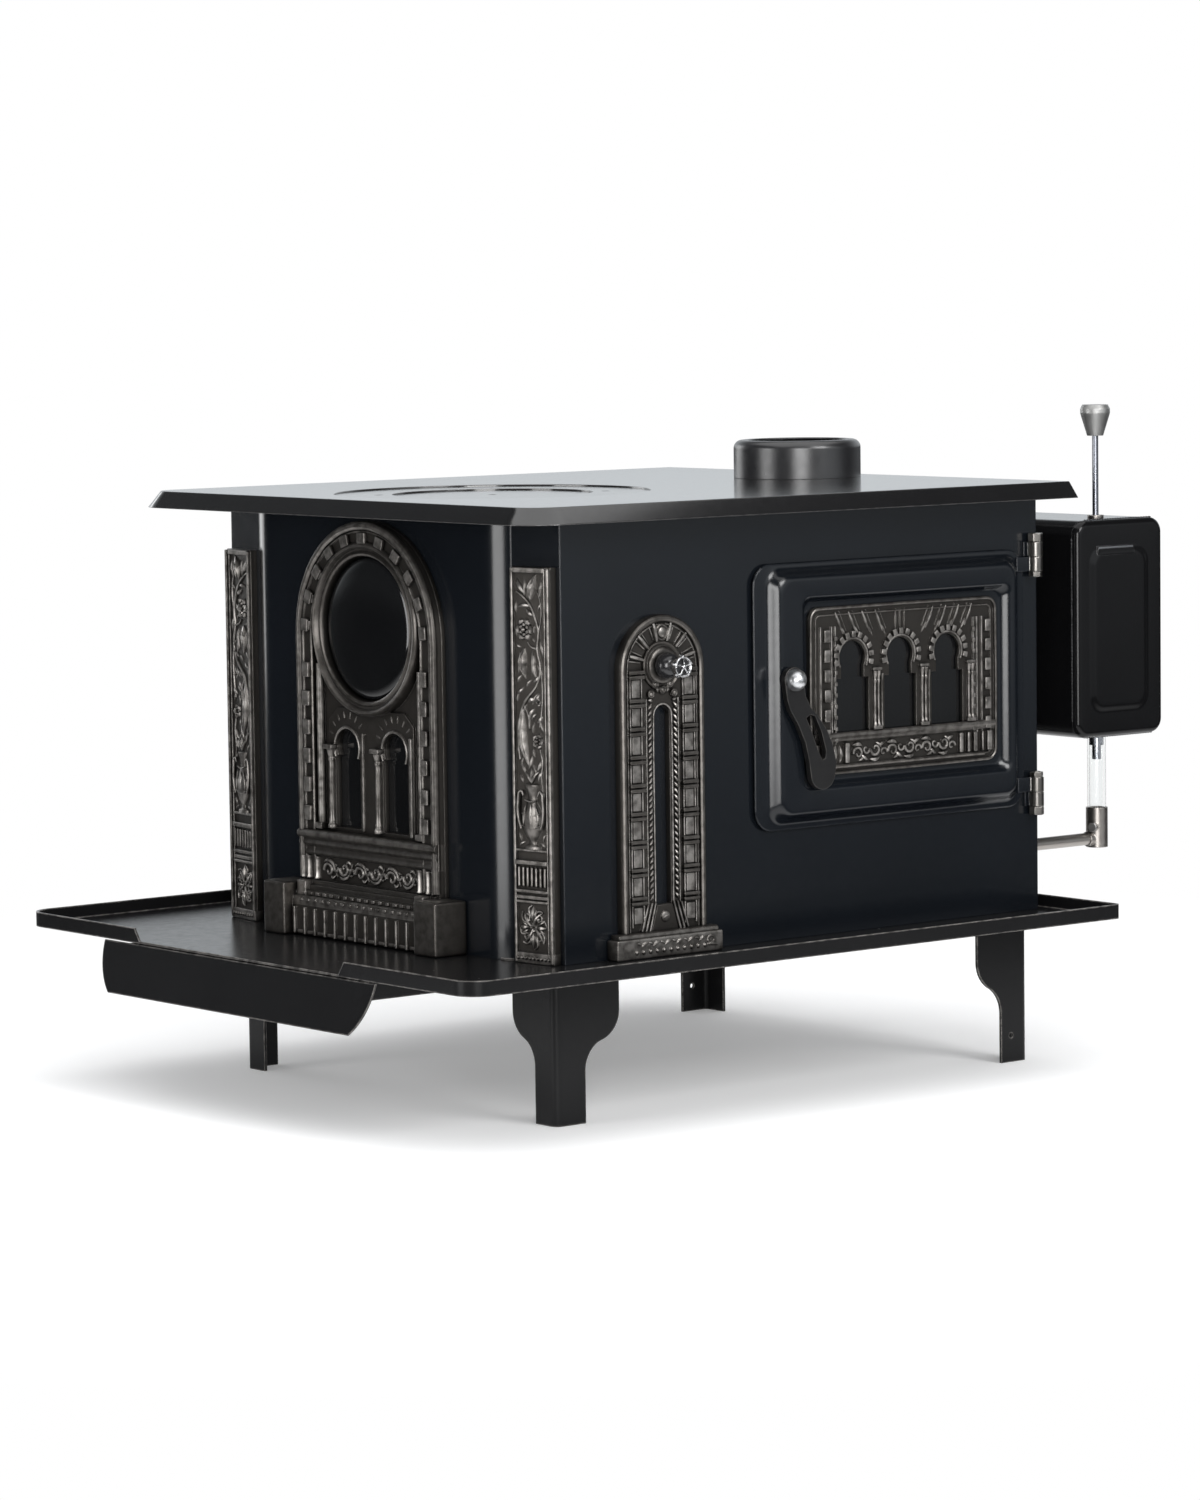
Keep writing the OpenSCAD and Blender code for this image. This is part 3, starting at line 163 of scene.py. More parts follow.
# Hearth tray. Two-millimetre black sheet with a turned-up rim, open at the front; its
# edges are worn and lighter. Its coat serves every painted or bare metal on the stove: slow
# drifts of tone, a fine skin that breaks the shine, edges rubbed bright and, on castings, painted shade in
# the hollows.
def coat(name, colour, drift, rough, metal=0.0, shine=0.5, grain=900.0, depth=0.00006,
         rub=(0.2, 0.19, 0.18), rub_width=0.0012, rub_amount=0.5, pits=0.0, hollow_shade=0.0, polished=False):
    paint = bpy.data.materials.new(name)
    paint.use_nodes = True
    tree = paint.node_tree
    skin = tree.nodes["Principled BSDF"]
    skin.inputs["Metallic"].default_value = metal
    skin.inputs["Specular IOR Level"].default_value = shine
    place = added(tree, "TexCoord").outputs["Object"]

    def cloud(scale, detail):
        return added(tree, "TexNoise", {"Vector": place, "Scale": scale, "Detail": detail}).outputs["Fac"]

    tone = added(tree, "Mix", data_type="RGBA")
    tone.inputs[6].default_value = (*colour, 1)
    tone.inputs[7].default_value = (*drift, 1)
    tree.links.new(cloud(9.0, 5.0), tone.inputs[0])
    # rubbed edges: where a rounded normal leaves the true one
    round_off = added(tree, "Bevel", {"Radius": rub_width}, samples=4).outputs[0]
    true_normal = added(tree, "NewGeometry").outputs["Normal"]
    turn = added(tree, "VectorMath", {0: round_off, 1: true_normal}, operation="DOT_PRODUCT")
    edge = added(tree, "MapRange", {"Value": turn.outputs["Value"], "From Min": 0.995, "From Max": 0.86,
                                    "To Min": 0.0, "To Max": rub_amount})
    scuff = cloud(130.0, 4.0)
    patch = added(tree, "MapRange", {"Value": scuff, "From Min": 0.35, "From Max": 0.6, "To Min": 0.25})
    if polished:
        # high relief, marked on the casting as it is drawn, is polished all over
        high = added(tree, "Attribute", attribute_name="rubbed")
        edge = added(tree, "Math", {0: edge.outputs[0], 1: high.outputs["Fac"]}, operation="MAXIMUM")
    worn = added(tree, "Math", {0: edge.outputs[0], 1: patch.outputs[0]}, operation="MULTIPLY")
    bare = added(tree, "Mix", data_type="RGBA")
    bare.inputs[7].default_value = (*rub, 1)
    tree.links.new(worn.outputs[0], bare.inputs[0])
    tree.links.new(tone.outputs[2], bare.inputs[6])
    shown = bare.outputs[2]
    if hollow_shade:
        # painted shade: ambient occlusion darkens the hollows of a casting, over whatever is polished above
        # them
        hollow = added(tree, "AmbientOcclusion", {"Distance": 0.009}, samples=6)
        black = added(tree, "MapRange", {"Value": hollow.outputs["AO"], "From Min": 0.35, "From Max": 0.9,
                                         "To Min": 1.0 - hollow_shade})
        shade = added(tree, "Mix", data_type="RGBA", blend_type="MULTIPLY")
        shade.inputs[0].default_value = 1.0
        tree.links.new(shown, shade.inputs[6])
        tree.links.new(black.outputs[0], shade.inputs[7])
        shown = shade.outputs[2]
    tree.links.new(shown, skin.inputs["Base Color"])
    dull = added(tree, "MapRange", {"Value": scuff, "To Min": rough * 0.8,
                                    "To Max": min(rough * 1.25, 1.0)})
    tree.links.new(dull.outputs[0], skin.inputs["Roughness"])
    relief = added(tree, "Bump", {"Strength": 0.6, "Distance": depth, "Height": cloud(grain, 2.0),
                                  "Normal": round_off})
    if pits:
        relief = added(tree, "Bump", {"Strength": 0.8, "Distance": pits, "Height": cloud(330.0, 5.0),
                                      "Normal": relief.outputs[0]})
    tree.links.new(relief.outputs[0], skin.inputs["Normal"])
    return paint


def dress(finish, *names):
    for name in names:
        nodes[name].data.materials.clear()
        nodes[name].data.materials.append(finish)


def finished(shape, name, *finishes, smooth=35):
    mesh = bpy.data.meshes.new(name)
    shape.to_mesh(mesh)
    shape.free()
    for finish in finishes:
        mesh.materials.append(finish)
    for face in mesh.polygons:
        face.use_smooth = True
    mesh.set_sharp_from_angle(angle=math.radians(smooth))
    piece = bpy.data.objects.new(name, mesh)
    bpy.context.scene.collection.objects.link(piece)
    even = piece.modifiers.new("even_shading", "WEIGHTED_NORMAL")
    even.keep_sharp = True
    even.weight = 50
    return piece


def eased(node, radius, steps=2, least=40):
    """A copy of a sheet or forging with its cut edges eased by the given radius."""
    shape = bmesh.new()
    shape.from_mesh(nodes[node].data)
    bmesh.ops.remove_doubles(shape, verts=shape.verts, dist=0.00002)
    bmesh.ops.dissolve_limit(shape, angle_limit=math.radians(0.6), verts=shape.verts,
                             edges=shape.edges)
    shape.normal_update()
    cut = [edge for edge in shape.edges if len(edge.link_faces) == 2
           and edge.calc_face_angle(0) > math.radians(least)]
    bmesh.ops.bevel(shape, geom=cut, offset=radius, offset_type="OFFSET", affect="EDGES",
                    segments=steps, profile=0.5, clamp_overlap=True, material=-1)
    return shape


tray_black = coat("tray_black", (0.0055, 0.0055, 0.0058), (0.010, 0.010, 0.0105), 0.24, shine=0.13,
                  rub=(0.34, 0.32, 0.30), rub_width=0.002, rub_amount=0.9)
tray = finished(eased("hearth_tray", 0.0007), "hearth_tray_sheet", tray_black)
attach(tray, "stove")
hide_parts("hearth_tray")

# Legs. Four angles of the same sheet, cut to a curve below the knee; bolted up through
# the tray, with zinc-plated bolts and nuts.
for corner in ("front_right", "front_left", "rear_right", "rear_left"):
    leg = finished(eased("leg_" + corner, 0.0006), "leg_angle_" + corner, tray_black)
    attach(leg, "stove")
    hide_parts("leg_" + corner)
zinc = coat("zinc_plate", (0.42, 0.42, 0.43), (0.5, 0.5, 0.5), 0.38, metal=1.0, rub=(0.7, 0.7, 0.7))
dress(zinc, "leg_bolts", "leg_nuts")

# Floor sheet, casing and back. Two-millimetre steel, folded and screwed, under a satin
# blue-black stove enamel; the folds are slightly round and catch the light.
casing_enamel = coat("casing_enamel", (0.0038, 0.0048, 0.0064), (0.0058, 0.0074, 0.0100), 0.17,
                     shine=0.45, grain=70.0, rub=(0.05, 0.055, 0.07), rub_width=0.002, rub_amount=0.35,
                     depth=0.000006)
dress(casing_enamel, "back_panel")
dress(tray_black, "floor_panel")
folded = eased("casing", 0.0012, steps=3, least=15)
# the front is rolled round to the corner facets on a wide former: 51.3 mm radius, 35.8 degrees
for point in folded.verts:
    across, back = abs(point.co.x) * 1000 - 186, point.co.y * 1000 + 286.5
    if across > -0.05 and across < 10.2 and back < 10.1 and math.hypot(across, 10 - back) < 10.3:
        way = math.atan2(max(across, 0.0), 10 - back) / (math.pi / 2)
        reach = 51.3 - (10 - math.hypot(across, 10 - back))
        lean = math.radians(35.8) * way
        point.co.x = math.copysign((166 + reach * math.sin(lean)) * 0.001, point.co.x)
        point.co.y = (51.3 - reach * math.cos(lean) - 286.5) * 0.001
casing = finished(folded, "casing_sheet", casing_enamel)
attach(casing, "stove")
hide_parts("casing")

# Top plate and flue collar. Six-millimetre plate with a sloped edge, in smooth heat-proof
# black that mirrors the room; the collar is spun from sheet with its rim rolled in.
plate_black = coat("plate_black", (0.007, 0.007, 0.0075), (0.012, 0.012, 0.0125), 0.125, shine=1.0,
                   grain=300.0, rub=(0.16, 0.15, 0.145), rub_width=0.0015, rub_amount=0.6, depth=0.00001)
plate = finished(eased("top_plate", 0.0008), "top_plate_casting", plate_black)
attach(plate, "stove")
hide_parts("top_plate")
collar_black = coat("collar_black", (0.010, 0.010, 0.011), (0.018, 0.018, 0.020), 0.30, shine=0.8,
                    grain=300.0, rub=(0.16, 0.15, 0.145), rub_amount=0.3, depth=0.00003)
flue_radius = 0.0625
rim_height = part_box("flue_collar")[1][2]
plate_top = rim_height - 0.037
rim = [(math.sin(math.radians(turn)), math.cos(math.radians(turn))) for turn in range(0, 91, 10)]
section = ([(-0.002, plate_top - 0.008), (0.015, plate_top - 0.008), (0.015, plate_top - 0.006),
            (-0.0006, plate_top - 0.006), (-0.0006, plate_top), (0, plate_top)]
           + [(-0.008 + 0.008 * up, rim_height - 0.008 + 0.008 * out) for out, up in rim]
           + [(-0.0128, rim_height), (-0.0138, rim_height - 0.0004), (-0.014, rim_height - 0.001),
              (-0.0138, rim_height - 0.0016), (-0.0128, rim_height - 0.002)]
           + [(-0.008 + 0.006 * up, rim_height - 0.008 + 0.006 * out) for out, up in reversed(rim)])
collar = bmesh.new()
flue_back = (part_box("flue_collar")[0][1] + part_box("flue_collar")[1][1]) / 2
points = [collar.verts.new((flue_radius + reach, flue_back, height)) for reach, height in section]
lines = [collar.edges.new(pair) for pair in zip(points, points[1:] + points[:1])]
bmesh.ops.spin(collar, geom=points + lines, cent=(0, flue_back, 0), axis=(0, 0, 1), dvec=(0, 0, 0),
               angle=math.tau, steps=96, use_merge=True, use_duplicate=False)
bmesh.ops.remove_doubles(collar, verts=collar.verts, dist=0.000002)
bmesh.ops.recalc_face_normals(collar, faces=collar.faces)
collar = finished(collar, "flue_collar_spun", collar_black, smooth=50)
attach(collar, "stove")
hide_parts("flue_collar")

# Cooking ring and lid. Plain cast iron, blackened by heat, loose in the plate.
cast_plain = coat("cast_plain", (0.014, 0.014, 0.015), (0.024, 0.023, 0.022), 0.14, shine=1.0,
                  grain=300.0, rub=(0.2, 0.18, 0.16), pits=0.00001, depth=0.00001)
dress(cast_plain, "cook_ring", "cook_lid")


# Front arch. One iron sand casting bolted to the front sheet: a round-headed gateway with
# brick jambs, a turned bezel for the round window, two niches, a cornice, a band of scrolls
# and a stepped foot between two corner blocks. It is drawn flat in millimetres: across, up, out.
def wall(place, across, out):
    across, out = Vector(across), Vector(out)
    return Matrix((
        (across.x, 0, out.x, place[0]),
        (across.y, 0, out.y, place[1]),
        (across.z, 1, out.z, place[2]),
        (0, 0, 0, 1000))) * 0.001


def arch_rim(half, foot, top, middle=0.0, bends=28):
    crown = top - half
    return [(middle - half, foot), (middle + half, foot)] + [
        (middle + half * math.cos(math.pi * step / bends), crown + half * math.sin(math.pi * step / bends))
        for step in range(bends + 1)]


def ring_rim(middle, height, radius, bends=56):
    turns = [math.tau * step / bends for step in range(bends)]
    return [(middle + radius * math.cos(turn), height + radius * math.sin(turn)) for turn in turns]


def niche_rim(middle, foot, top, half, bends=16):
    head = half - 2
    neck = half - 4
    lift = top - half + 2
    start = math.acos(neck / head)
    arc = [(middle + head * math.cos(angle), lift + head * math.sin(angle))
           for angle in (-start + (math.pi + 2 * start) * step / bends for step in range(bends + 1))]
    return ([(middle - half, foot), (middle + half, foot), (middle + half, top - half - 8),
             (middle + neck, top - half - 8)] + arc
            + [(middle - neck, top - half - 8), (middle - half, top - half - 8)])


def polish(shape, before, low, rise, worn):
    """Marks how far what was just drawn stands up into the polisher's wheel."""
    mark = shape.verts.layers.float.get("rubbed") or shape.verts.layers.float.new("rubbed")
    for point in shape.verts:
        if point not in before:
            point[mark] = worn * min(max((point.co.z - low) / rise, 0.0), 1.0)


def slab(shape, rims, low, high, edge=0.0, worn=0.0):
    """A flat layer of iron inside the first rim, open inside the others, its top edges rounded."""
    mark = shape.verts.layers.float.get("rubbed") or shape.verts.layers.float.new("rubbed")
    before = set(shape.verts)
    lines = []
    for rim in rims:
        corners = [shape.verts.new((across, up, low)) for across, up in rim]
        lines += [shape.edges.new(pair) for pair in zip(corners, corners[1:] + corners[:1])]
    sheet = bmesh.ops.triangle_fill(shape, use_beauty=True, use_dissolve=False, edges=lines)["geom"]
    faces = [part for part in sheet if isinstance(part, bmesh.types.BMFace)]
    lifted = bmesh.ops.extrude_face_region(shape, geom=faces)["geom"]
    bmesh.ops.translate(shape, vec=(0, 0, high - low),
                        verts=[part for part in lifted if isinstance(part, bmesh.types.BMVert)])
    if edge:
        tops = {part for part in lifted if isinstance(part, bmesh.types.BMFace)}
        brim = [part for part in lifted if isinstance(part, bmesh.types.BMEdge)
                and sum(face in tops for face in part.link_faces) == 1]
        bmesh.ops.bevel(shape, geom=brim, offset=edge, offset_type="OFFSET", affect="EDGES",
                        segments=2, profile=0.5, clamp_overlap=True, material=-1)
    for point in shape.verts:
        if worn and point not in before and point.co.z > (low + high) / 2:
            point[mark] = worn


def block(shape, across, up, wide, tall, low, high, edge=0.7, turn=0.0, worn=0.6):
    """A cast brick or bar, its edges rounded, turned by degrees in its wall."""
    before = set(shape.verts)
    seat = (Matrix.Translation((across, up, (low + high) / 2)) @ Matrix.Rotation(math.radians(turn), 4, "Z")
            @ Matrix.Diagonal((wide, tall, high - low, 1)))
    corners = bmesh.ops.create_cube(shape, size=1, matrix=seat)["verts"]
    bmesh.ops.bevel(shape, geom=list({line for corner in corners for line in corner.link_edges}),
                    offset=edge, offset_type="OFFSET", affect="EDGES", segments=2, profile=0.5,
                    clamp_overlap=True, material=-1)
    polish(shape, before, low + (high - low) * 0.4, (high - low) * 0.4, worn)


def turned(shape, across, up, profile, steps=48, worn=0.6):
    """A round boss or ring, spun from its (radius, height) profile."""
    before = set(shape.verts)
    points = [shape.verts.new((across + radius, up, height)) for radius, height in profile]
    lines = [shape.edges.new(pair) for pair in zip(points, points[1:])]
    bmesh.ops.spin(shape, geom=points + lines, cent=(across, up, 0), axis=(0, 0, 1), dvec=(0, 0, 0),
                   angle=math.tau, steps=steps, use_merge=True, use_duplicate=False)
    bmesh.ops.remove_doubles(shape, verts=[point for point in shape.verts if point not in before],
                             dist=0.002)
    low, high = min(height for radius, height in profile), max(height for radius, height in profile)
    polish(shape, before, low + (high - low) * 0.5, (high - low) * 0.45, worn)


def moulding(shape, left, right, profile, worn=0.3):
    """A straight moulding across the wall, of the given (up, out) section."""
    before = set(shape.verts)
    corners = [shape.verts.new((left, up, out)) for up, out in profile]
    end = shape.faces.new(corners)
    run = bmesh.ops.extrude_face_region(shape, geom=[end])["geom"]
    bmesh.ops.translate(shape, vec=(right - left, 0, 0),
                        verts=[part for part in run if isinstance(part, bmesh.types.BMVert)])
    high = max(out for up, out in profile)
    polish(shape, before, high - 5, 4, worn)


def strokes(shape, lines, low, flat=1.0, loop=False, fine=3, facets=1, worn=1.0):
    """Rounded strokes in the iron: each line is a list of (across, up, half width)."""
    before = set(shape.verts)
    curve = bpy.data.curves.new("stroke", "CURVE")
    curve.dimensions = "3D"
    curve.bevel_depth = 1.0
    curve.bevel_resolution = facets
    curve.resolution_u = fine
    curve.use_fill_caps = True
    for line in lines:
        spline = curve.splines.new("BEZIER")
        spline.bezier_points.add(len(line) - 1)
        spline.use_cyclic_u = loop
        for knot, (across, up, half) in zip(spline.bezier_points, line):
            knot.co = (across, up, 0)
            knot.radius = half
            knot.handle_left_type = "AUTO"
            knot.handle_right_type = "AUTO"
    holder = bpy.data.objects.new("stroke", curve)
    drawn = bpy.data.meshes.new_from_object(holder)
    drawn.transform(Matrix.Translation((0, 0, low)) @ Matrix.Diagonal((1, 1, flat, 1)))
    shape.from_mesh(drawn)
    bpy.data.objects.remove(holder)
    bpy.data.curves.remove(curve)
    bpy.data.meshes.remove(drawn)
    thick = sum(half for line in lines for across, up, half in line) / sum(len(line) for line in lines)
    polish(shape, before, low + thick * flat * 0.15, thick * flat * 0.7, worn)


def scroll(across, up, size, start, hand, half=1.2, turns=1.3):
    """The points of one tapering spiral, from its open end to its eye."""
    points = []
    for step in range(10):
        way = step / 9
        reach = size * (1 - 0.78 * way)
        turn = math.radians(start) + hand * turns * math.tau * way
        points.append((across + reach * math.cos(turn), up + reach * math.sin(turn),
                       half * (1 - 0.4 * way)))
    return points


def cast(shape, seat, name, node, finish, body="stove"):
    """Sets a drawn casting on its wall, in metres, in place of its plain node."""
    shape.transform(seat)
    bmesh.ops.recalc_face_normals(shape, faces=shape.faces)
    piece = finished(shape, name, finish)
    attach(piece, body)
    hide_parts(node)
    return piece


# the castings carry painted shade in their hollows, darkened by ambient occlusion
cast_ornament = coat("cast_ornament", (0.045, 0.041, 0.037), (0.080, 0.073, 0.066), 0.32, metal=0.85,
                     rub=(0.43, 0.405, 0.38), rub_width=0.0008, rub_amount=0.32, pits=0.00014,
                     depth=0.00008,
                     hollow_shade=0.85, polished=True)
front_wall = wall((0, -286.5, 146), (1, 0, 0), (0, -1, 0))
window_height = 294
arch = bmesh.new()
slab(arch, [arch_rim(108, 2, 394), ring_rim(0, window_height, 67.5), niche_rim(-37, 106, 200, 19),
            niche_rim(37, 106, 200, 19)], 0, 4, 0.6)
slab(arch, [arch_rim(107.6, 2, 393.6), arch_rim(84, 99, 370)], 3.9, 11, 1.2)
# outer roll and the thin ridges beside the brick course
rolls = []
for half, thick in ((103.6, 4.3), (98.3, 1.2), (85.2, 1.3)):
    side = [(half, up, thick) for up in (56, 120, 200, 270)]
    head = [(half * math.cos(math.radians(angle)), 286 + half * math.sin(math.radians(angle)), thick)
            for angle in range(0, 181, 15)]
    rolls.append(side + head + [(-across, up, thick) for across, up, thick in reversed(side)])
strokes(arch, rolls[:1], 10.8, facets=3, worn=0.4)
strokes(arch, rolls[1:], 11.0, flat=1.1, worn=0.5)
# brick courses on the jambs and round the head
for hand in (-1, 1):
    for course in range(6):
        block(arch, hand * 91.6, 117 + course * 27, 10.5, 14, 10.5, 15.2, 1.1, worn=0.7)
for angle in range(5, 176, 17):
    turn = math.radians(angle)
    block(arch, 92.3 * math.cos(turn), 286 + 92.3 * math.sin(turn), 10.5, 12, 10.5, 15.0, 1.1, angle)
    block(arch, 87.4 * math.cos(turn), 286 + 87.4 * math.sin(turn), 3.0, 8.5, 10.5, 13.2, 0.7, angle)
# bezel of the round window
turned(arch, 0, window_height, [(67.0, -0.4), (67.0, 9.2), (68.0, 11.4), (69.8, 12.4), (71.4, 11.6),
                                (72.6, 10.6),
                                (74.2, 10.8), (75.2, 12.6), (76.6, 14.4), (78.4, 14.9), (80.1, 13.8),
                                (81.1, 11.6),
                                (81.5, 9.5), (81.7, 3.5)], 72, 0.12)
# reveals, niche wall and the two niche rims
for hand in (-1, 1):
    strokes(arch, [[(hand * 78.6, up, 4.2) for up in (104, 150, 200, 258)]], 6.2, facets=3)
    block(arch, hand * 78.6, 105.5, 11, 6, 3.5, 12.2, 1.0)
slab(arch, [[(-66, 100), (66, 100), (66, 206), (52, 218), (-52, 218), (-66, 206)],
            niche_rim(-37, 105.8, 200.2, 19.2), niche_rim(37, 105.8, 200.2, 19.2)], 3.8, 6.4, 0.7)
for middle in (-37, 37):
    rim = niche_rim(middle, 106, 200, 21.5)[4:-2]
    strokes(arch, [[(across, up, 1.6) for across, up in rim]], 6.6, facets=2, worn=0.4)
    for angle in range(20, 161, 20):
        turn = math.radians(angle)
        strokes(arch, [[(middle + reach * math.cos(turn), 185 + reach * math.sin(turn), half)
                        for reach, half in ((24, 0.7), (27, 1.0), (30, 0.4))]], 6.4, flat=0.7, fine=2,
                worn=0.25)
for across in (-60.5, 12.5):
    turned_column = [[(across, up, half) for up, half in (
        (104.5, 4.8), (107, 4.9), (109.5, 3.7), (112, 4.1), (114, 3.4), (150, 3.3), (167, 3.2), (169, 4.0),
        (171.5, 3.5), (175, 4.6), (178.5, 5.3))]]
    strokes(arch, turned_column, 7.4, facets=3, fine=2, worn=0.7)
    block(arch, across, 181, 13.5, 4.4, 5.5, 13.6, 0.9)
block(arch, 62.5, 150, 4.0, 92, 5.5, 8.6, 0.9)
block(arch, -12.5, 150, 3.0, 92, 5.5, 8.0, 0.9)
# cornice and the band of scrolls under it
moulding(arch, -107.5, 107.5, [(101.5, 4), (101.5, 12.4), (100.2, 14.8), (98.4, 15.8), (96.2, 15.9),
                               (94.2, 15.0), (93.0, 13.2), (91.4, 12.6), (90.2, 13.2), (88.4, 13.8),
                               (86.6, 13.2), (85.4, 11.8), (83.0, 11.4), (80.8, 12.0), (79.4, 12.6),
                               (77.8, 12.2), (77.0, 11.0), (77.0, 4)])
for across in (-102, -93, -80, 80, 93, 102):
    strokes(arch, [[(across, up, half) for up, half in ((55.5, 3.6), (58, 2.9), (66, 2.8), (73, 2.9),
                                                        (76, 3.6))]],
            11.4, facets=2, fine=2)
band = []
for link in range(6):
    across = -62 + link * 24.8
    hand = 1 if link % 2 else -1
    band.append(scroll(across, 66 + hand * 1.5, 7.4, 180, hand, 1.9, 1.05))
    band.append(scroll(across + 11, 66 - hand * 2.5, 5.2, 0, hand, 1.7, 0.9))
    band.append([(across - 8, 66 - hand * 6, 0.8), (across - 1, 66 - hand * 8.0, 2.1),
                 (across + 7, 66 - hand * 4.5, 1.5), (across + 13, 66 + hand * 7.5, 0.6)])
    band.append([(across + 3, 66 + hand * 6, 0.7), (across + 7, 66 + hand * 8.2, 1.8),
                 (across + 11, 66 + hand * 5, 0.5)])
strokes(arch, band, 11.6, flat=1.15)
# stepped foot, its dentils, the ribbed plinth and the corner blocks
moulding(arch, -105.5, 105.5, [(54.5, 4), (54.5, 13.2), (53.7, 14.4), (50.4, 14.9), (49.9, 17.4),
                               (49.1, 18.4),
                               (45.4, 18.8), (44.9, 21.4), (44.1, 22.4), (40.4, 22.8), (39.9, 25.2),
                               (39.1, 26.3), (30, 27), (30, 4)])
for tooth in range(17):
    block(arch, -88 + tooth * 11, 42.4, 5.0, 3.2, 20.5, 24.2, 0.6)
    block(arch, -88 + tooth * 11, 36.4, 5.0, 3.0, 25.0, 27.6, 0.6)
slab(arch, [[(-104, 3), (104, 3), (104, 32), (-104, 32)]], 0, 27, 1.2)
for rib in range(13):
    block(arch, -96 + rib * 16, 16.5, 3.0, 26, 25, 29.6, 1.0)
    block(arch, -88 + rib * 16, 6.0, 9.0, 3.2, 25, 28.2, 0.7) if rib < 12 else None
for hand in (-1, 1):
    block(arch, hand * 118, 27, 34, 50, 0, 37, 2.6, worn=0.12)
    block(arch, hand * 118, 50.6, 27, 3.0, 5, 31, 1.3)
    block(arch, hand * 92, 45, 14, 18, 8, 23.5, 1.4)
cast(arch, front_wall, "front_arch_casting", "front_arch", cast_ornament)


# Window and niche glass. The round light is a thick pressed lens of dark ceramic glass, held in
# the bezel by a keeper plate inside; one flat pane closes both niches.
def pane(name, colour, clear, rough):
    sheet = bpy.data.materials.new(name)
    sheet.use_nodes = True
    tree = sheet.node_tree
    skin = tree.nodes["Principled BSDF"]
    skin.inputs["Transmission Weight"].default_value = clear
    skin.inputs["IOR"].default_value = 1.5
    place = added(tree, "TexCoord").outputs["Object"]
    haze = added(tree, "TexNoise", {"Vector": place, "Scale": 14.0, "Detail": 6.0}).outputs["Fac"]
    tone = added(tree, "Mix", data_type="RGBA")
    tone.inputs[6].default_value = (*colour, 1)
    tone.inputs[7].default_value = (*[min(part * 1.3 + 0.003, 1) for part in colour], 1)
    tree.links.new(haze, tone.inputs[0])
    tree.links.new(tone.outputs[2], skin.inputs["Base Color"])
    film = added(tree, "MapRange", {"Value": haze, "To Min": rough, "To Max": rough + 0.08})
    tree.links.new(film.outputs[0], skin.inputs["Roughness"])
    return sheet


dark_glass = pane("dark_glass", (0.003, 0.0032, 0.0036), 0.0, 0.04)
dress(dark_glass, "niche_glass")
lens = bmesh.new()
turned(lens, 0, window_height, [(0, 12.5), (10, 12.4), (20, 12.1), (30, 11.6), (38, 11.0), (45, 10.4),
                                (50, 9.8),
                                (55, 9.1), (58, 8.6), (60.5, 8.0), (62.5, 7.4), (64, 6.7), (65, 5.8),
                                (65.8, 4.7),
                                (66.3, 3.6), (66.6, 0), (66.6, -3.8), (0, -3.8)], 72)
cast(lens, front_wall, "window_lens", "window_glass", dark_glass)
liner_black = coat("liner_black", (0.02, 0.02, 0.021), (0.03, 0.03, 0.031), 0.6)
dress(liner_black, "window_keeper")


# Corner strips. Two narrow castings, one the mirror of the other, bolted over the front bends:
# a climbing stem with leaves and a rose above a two-handled vase, a ribbed band, a square of
# scrolled leaves and a beaded foot.
def leaf(root, tip, half, bow=0.0):
    """A pointed leaf from root to tip, its middle pushed aside by bow."""
    span = Vector(tip) - Vector(root)
    aside = Vector((-span.y, span.x)).normalized() * bow
    return [(root[0] + span.x * way + aside.x * math.sin(math.pi * way),
             root[1] + span.y * way + aside.y * math.sin(math.pi * way), half * 1.12 * full)
            for way, full in ((0, 0.22), (0.2, 0.75), (0.45, 1.0), (0.7, 0.72), (0.9, 0.3), (1.0, 0.1))]


def rose(shape, across, up, radius, petals, low, rise):
    """A round flower: an outer and an inner ring of cupped petals about a domed eye."""
    for ring, reach, half, turn in ((1, 0.74, 0.30, 0.0), (2, 0.42, 0.22, 0.5)):
        lines = []
        for petal in range(petals):
            angle = math.tau * (petal + turn) / petals
            spread = math.pi * 0.86 / petals
            lines.append([(across + radius * reach * math.cos(angle + side * spread),
                           up + radius * reach * math.sin(angle + side * spread), radius * half * full)
                          for side, full in ((-1, 0.45), (0, 1.0), (1, 0.45))])
        strokes(shape, lines, low, flat=0.75 + 0.25 * ring, fine=2)
    turned(shape, across, up, [(radius * 0.24, low), (radius * 0.22, low + rise * 0.7),
                               (radius * 0.12, low + rise), (0, low + rise * 1.05)], 14)


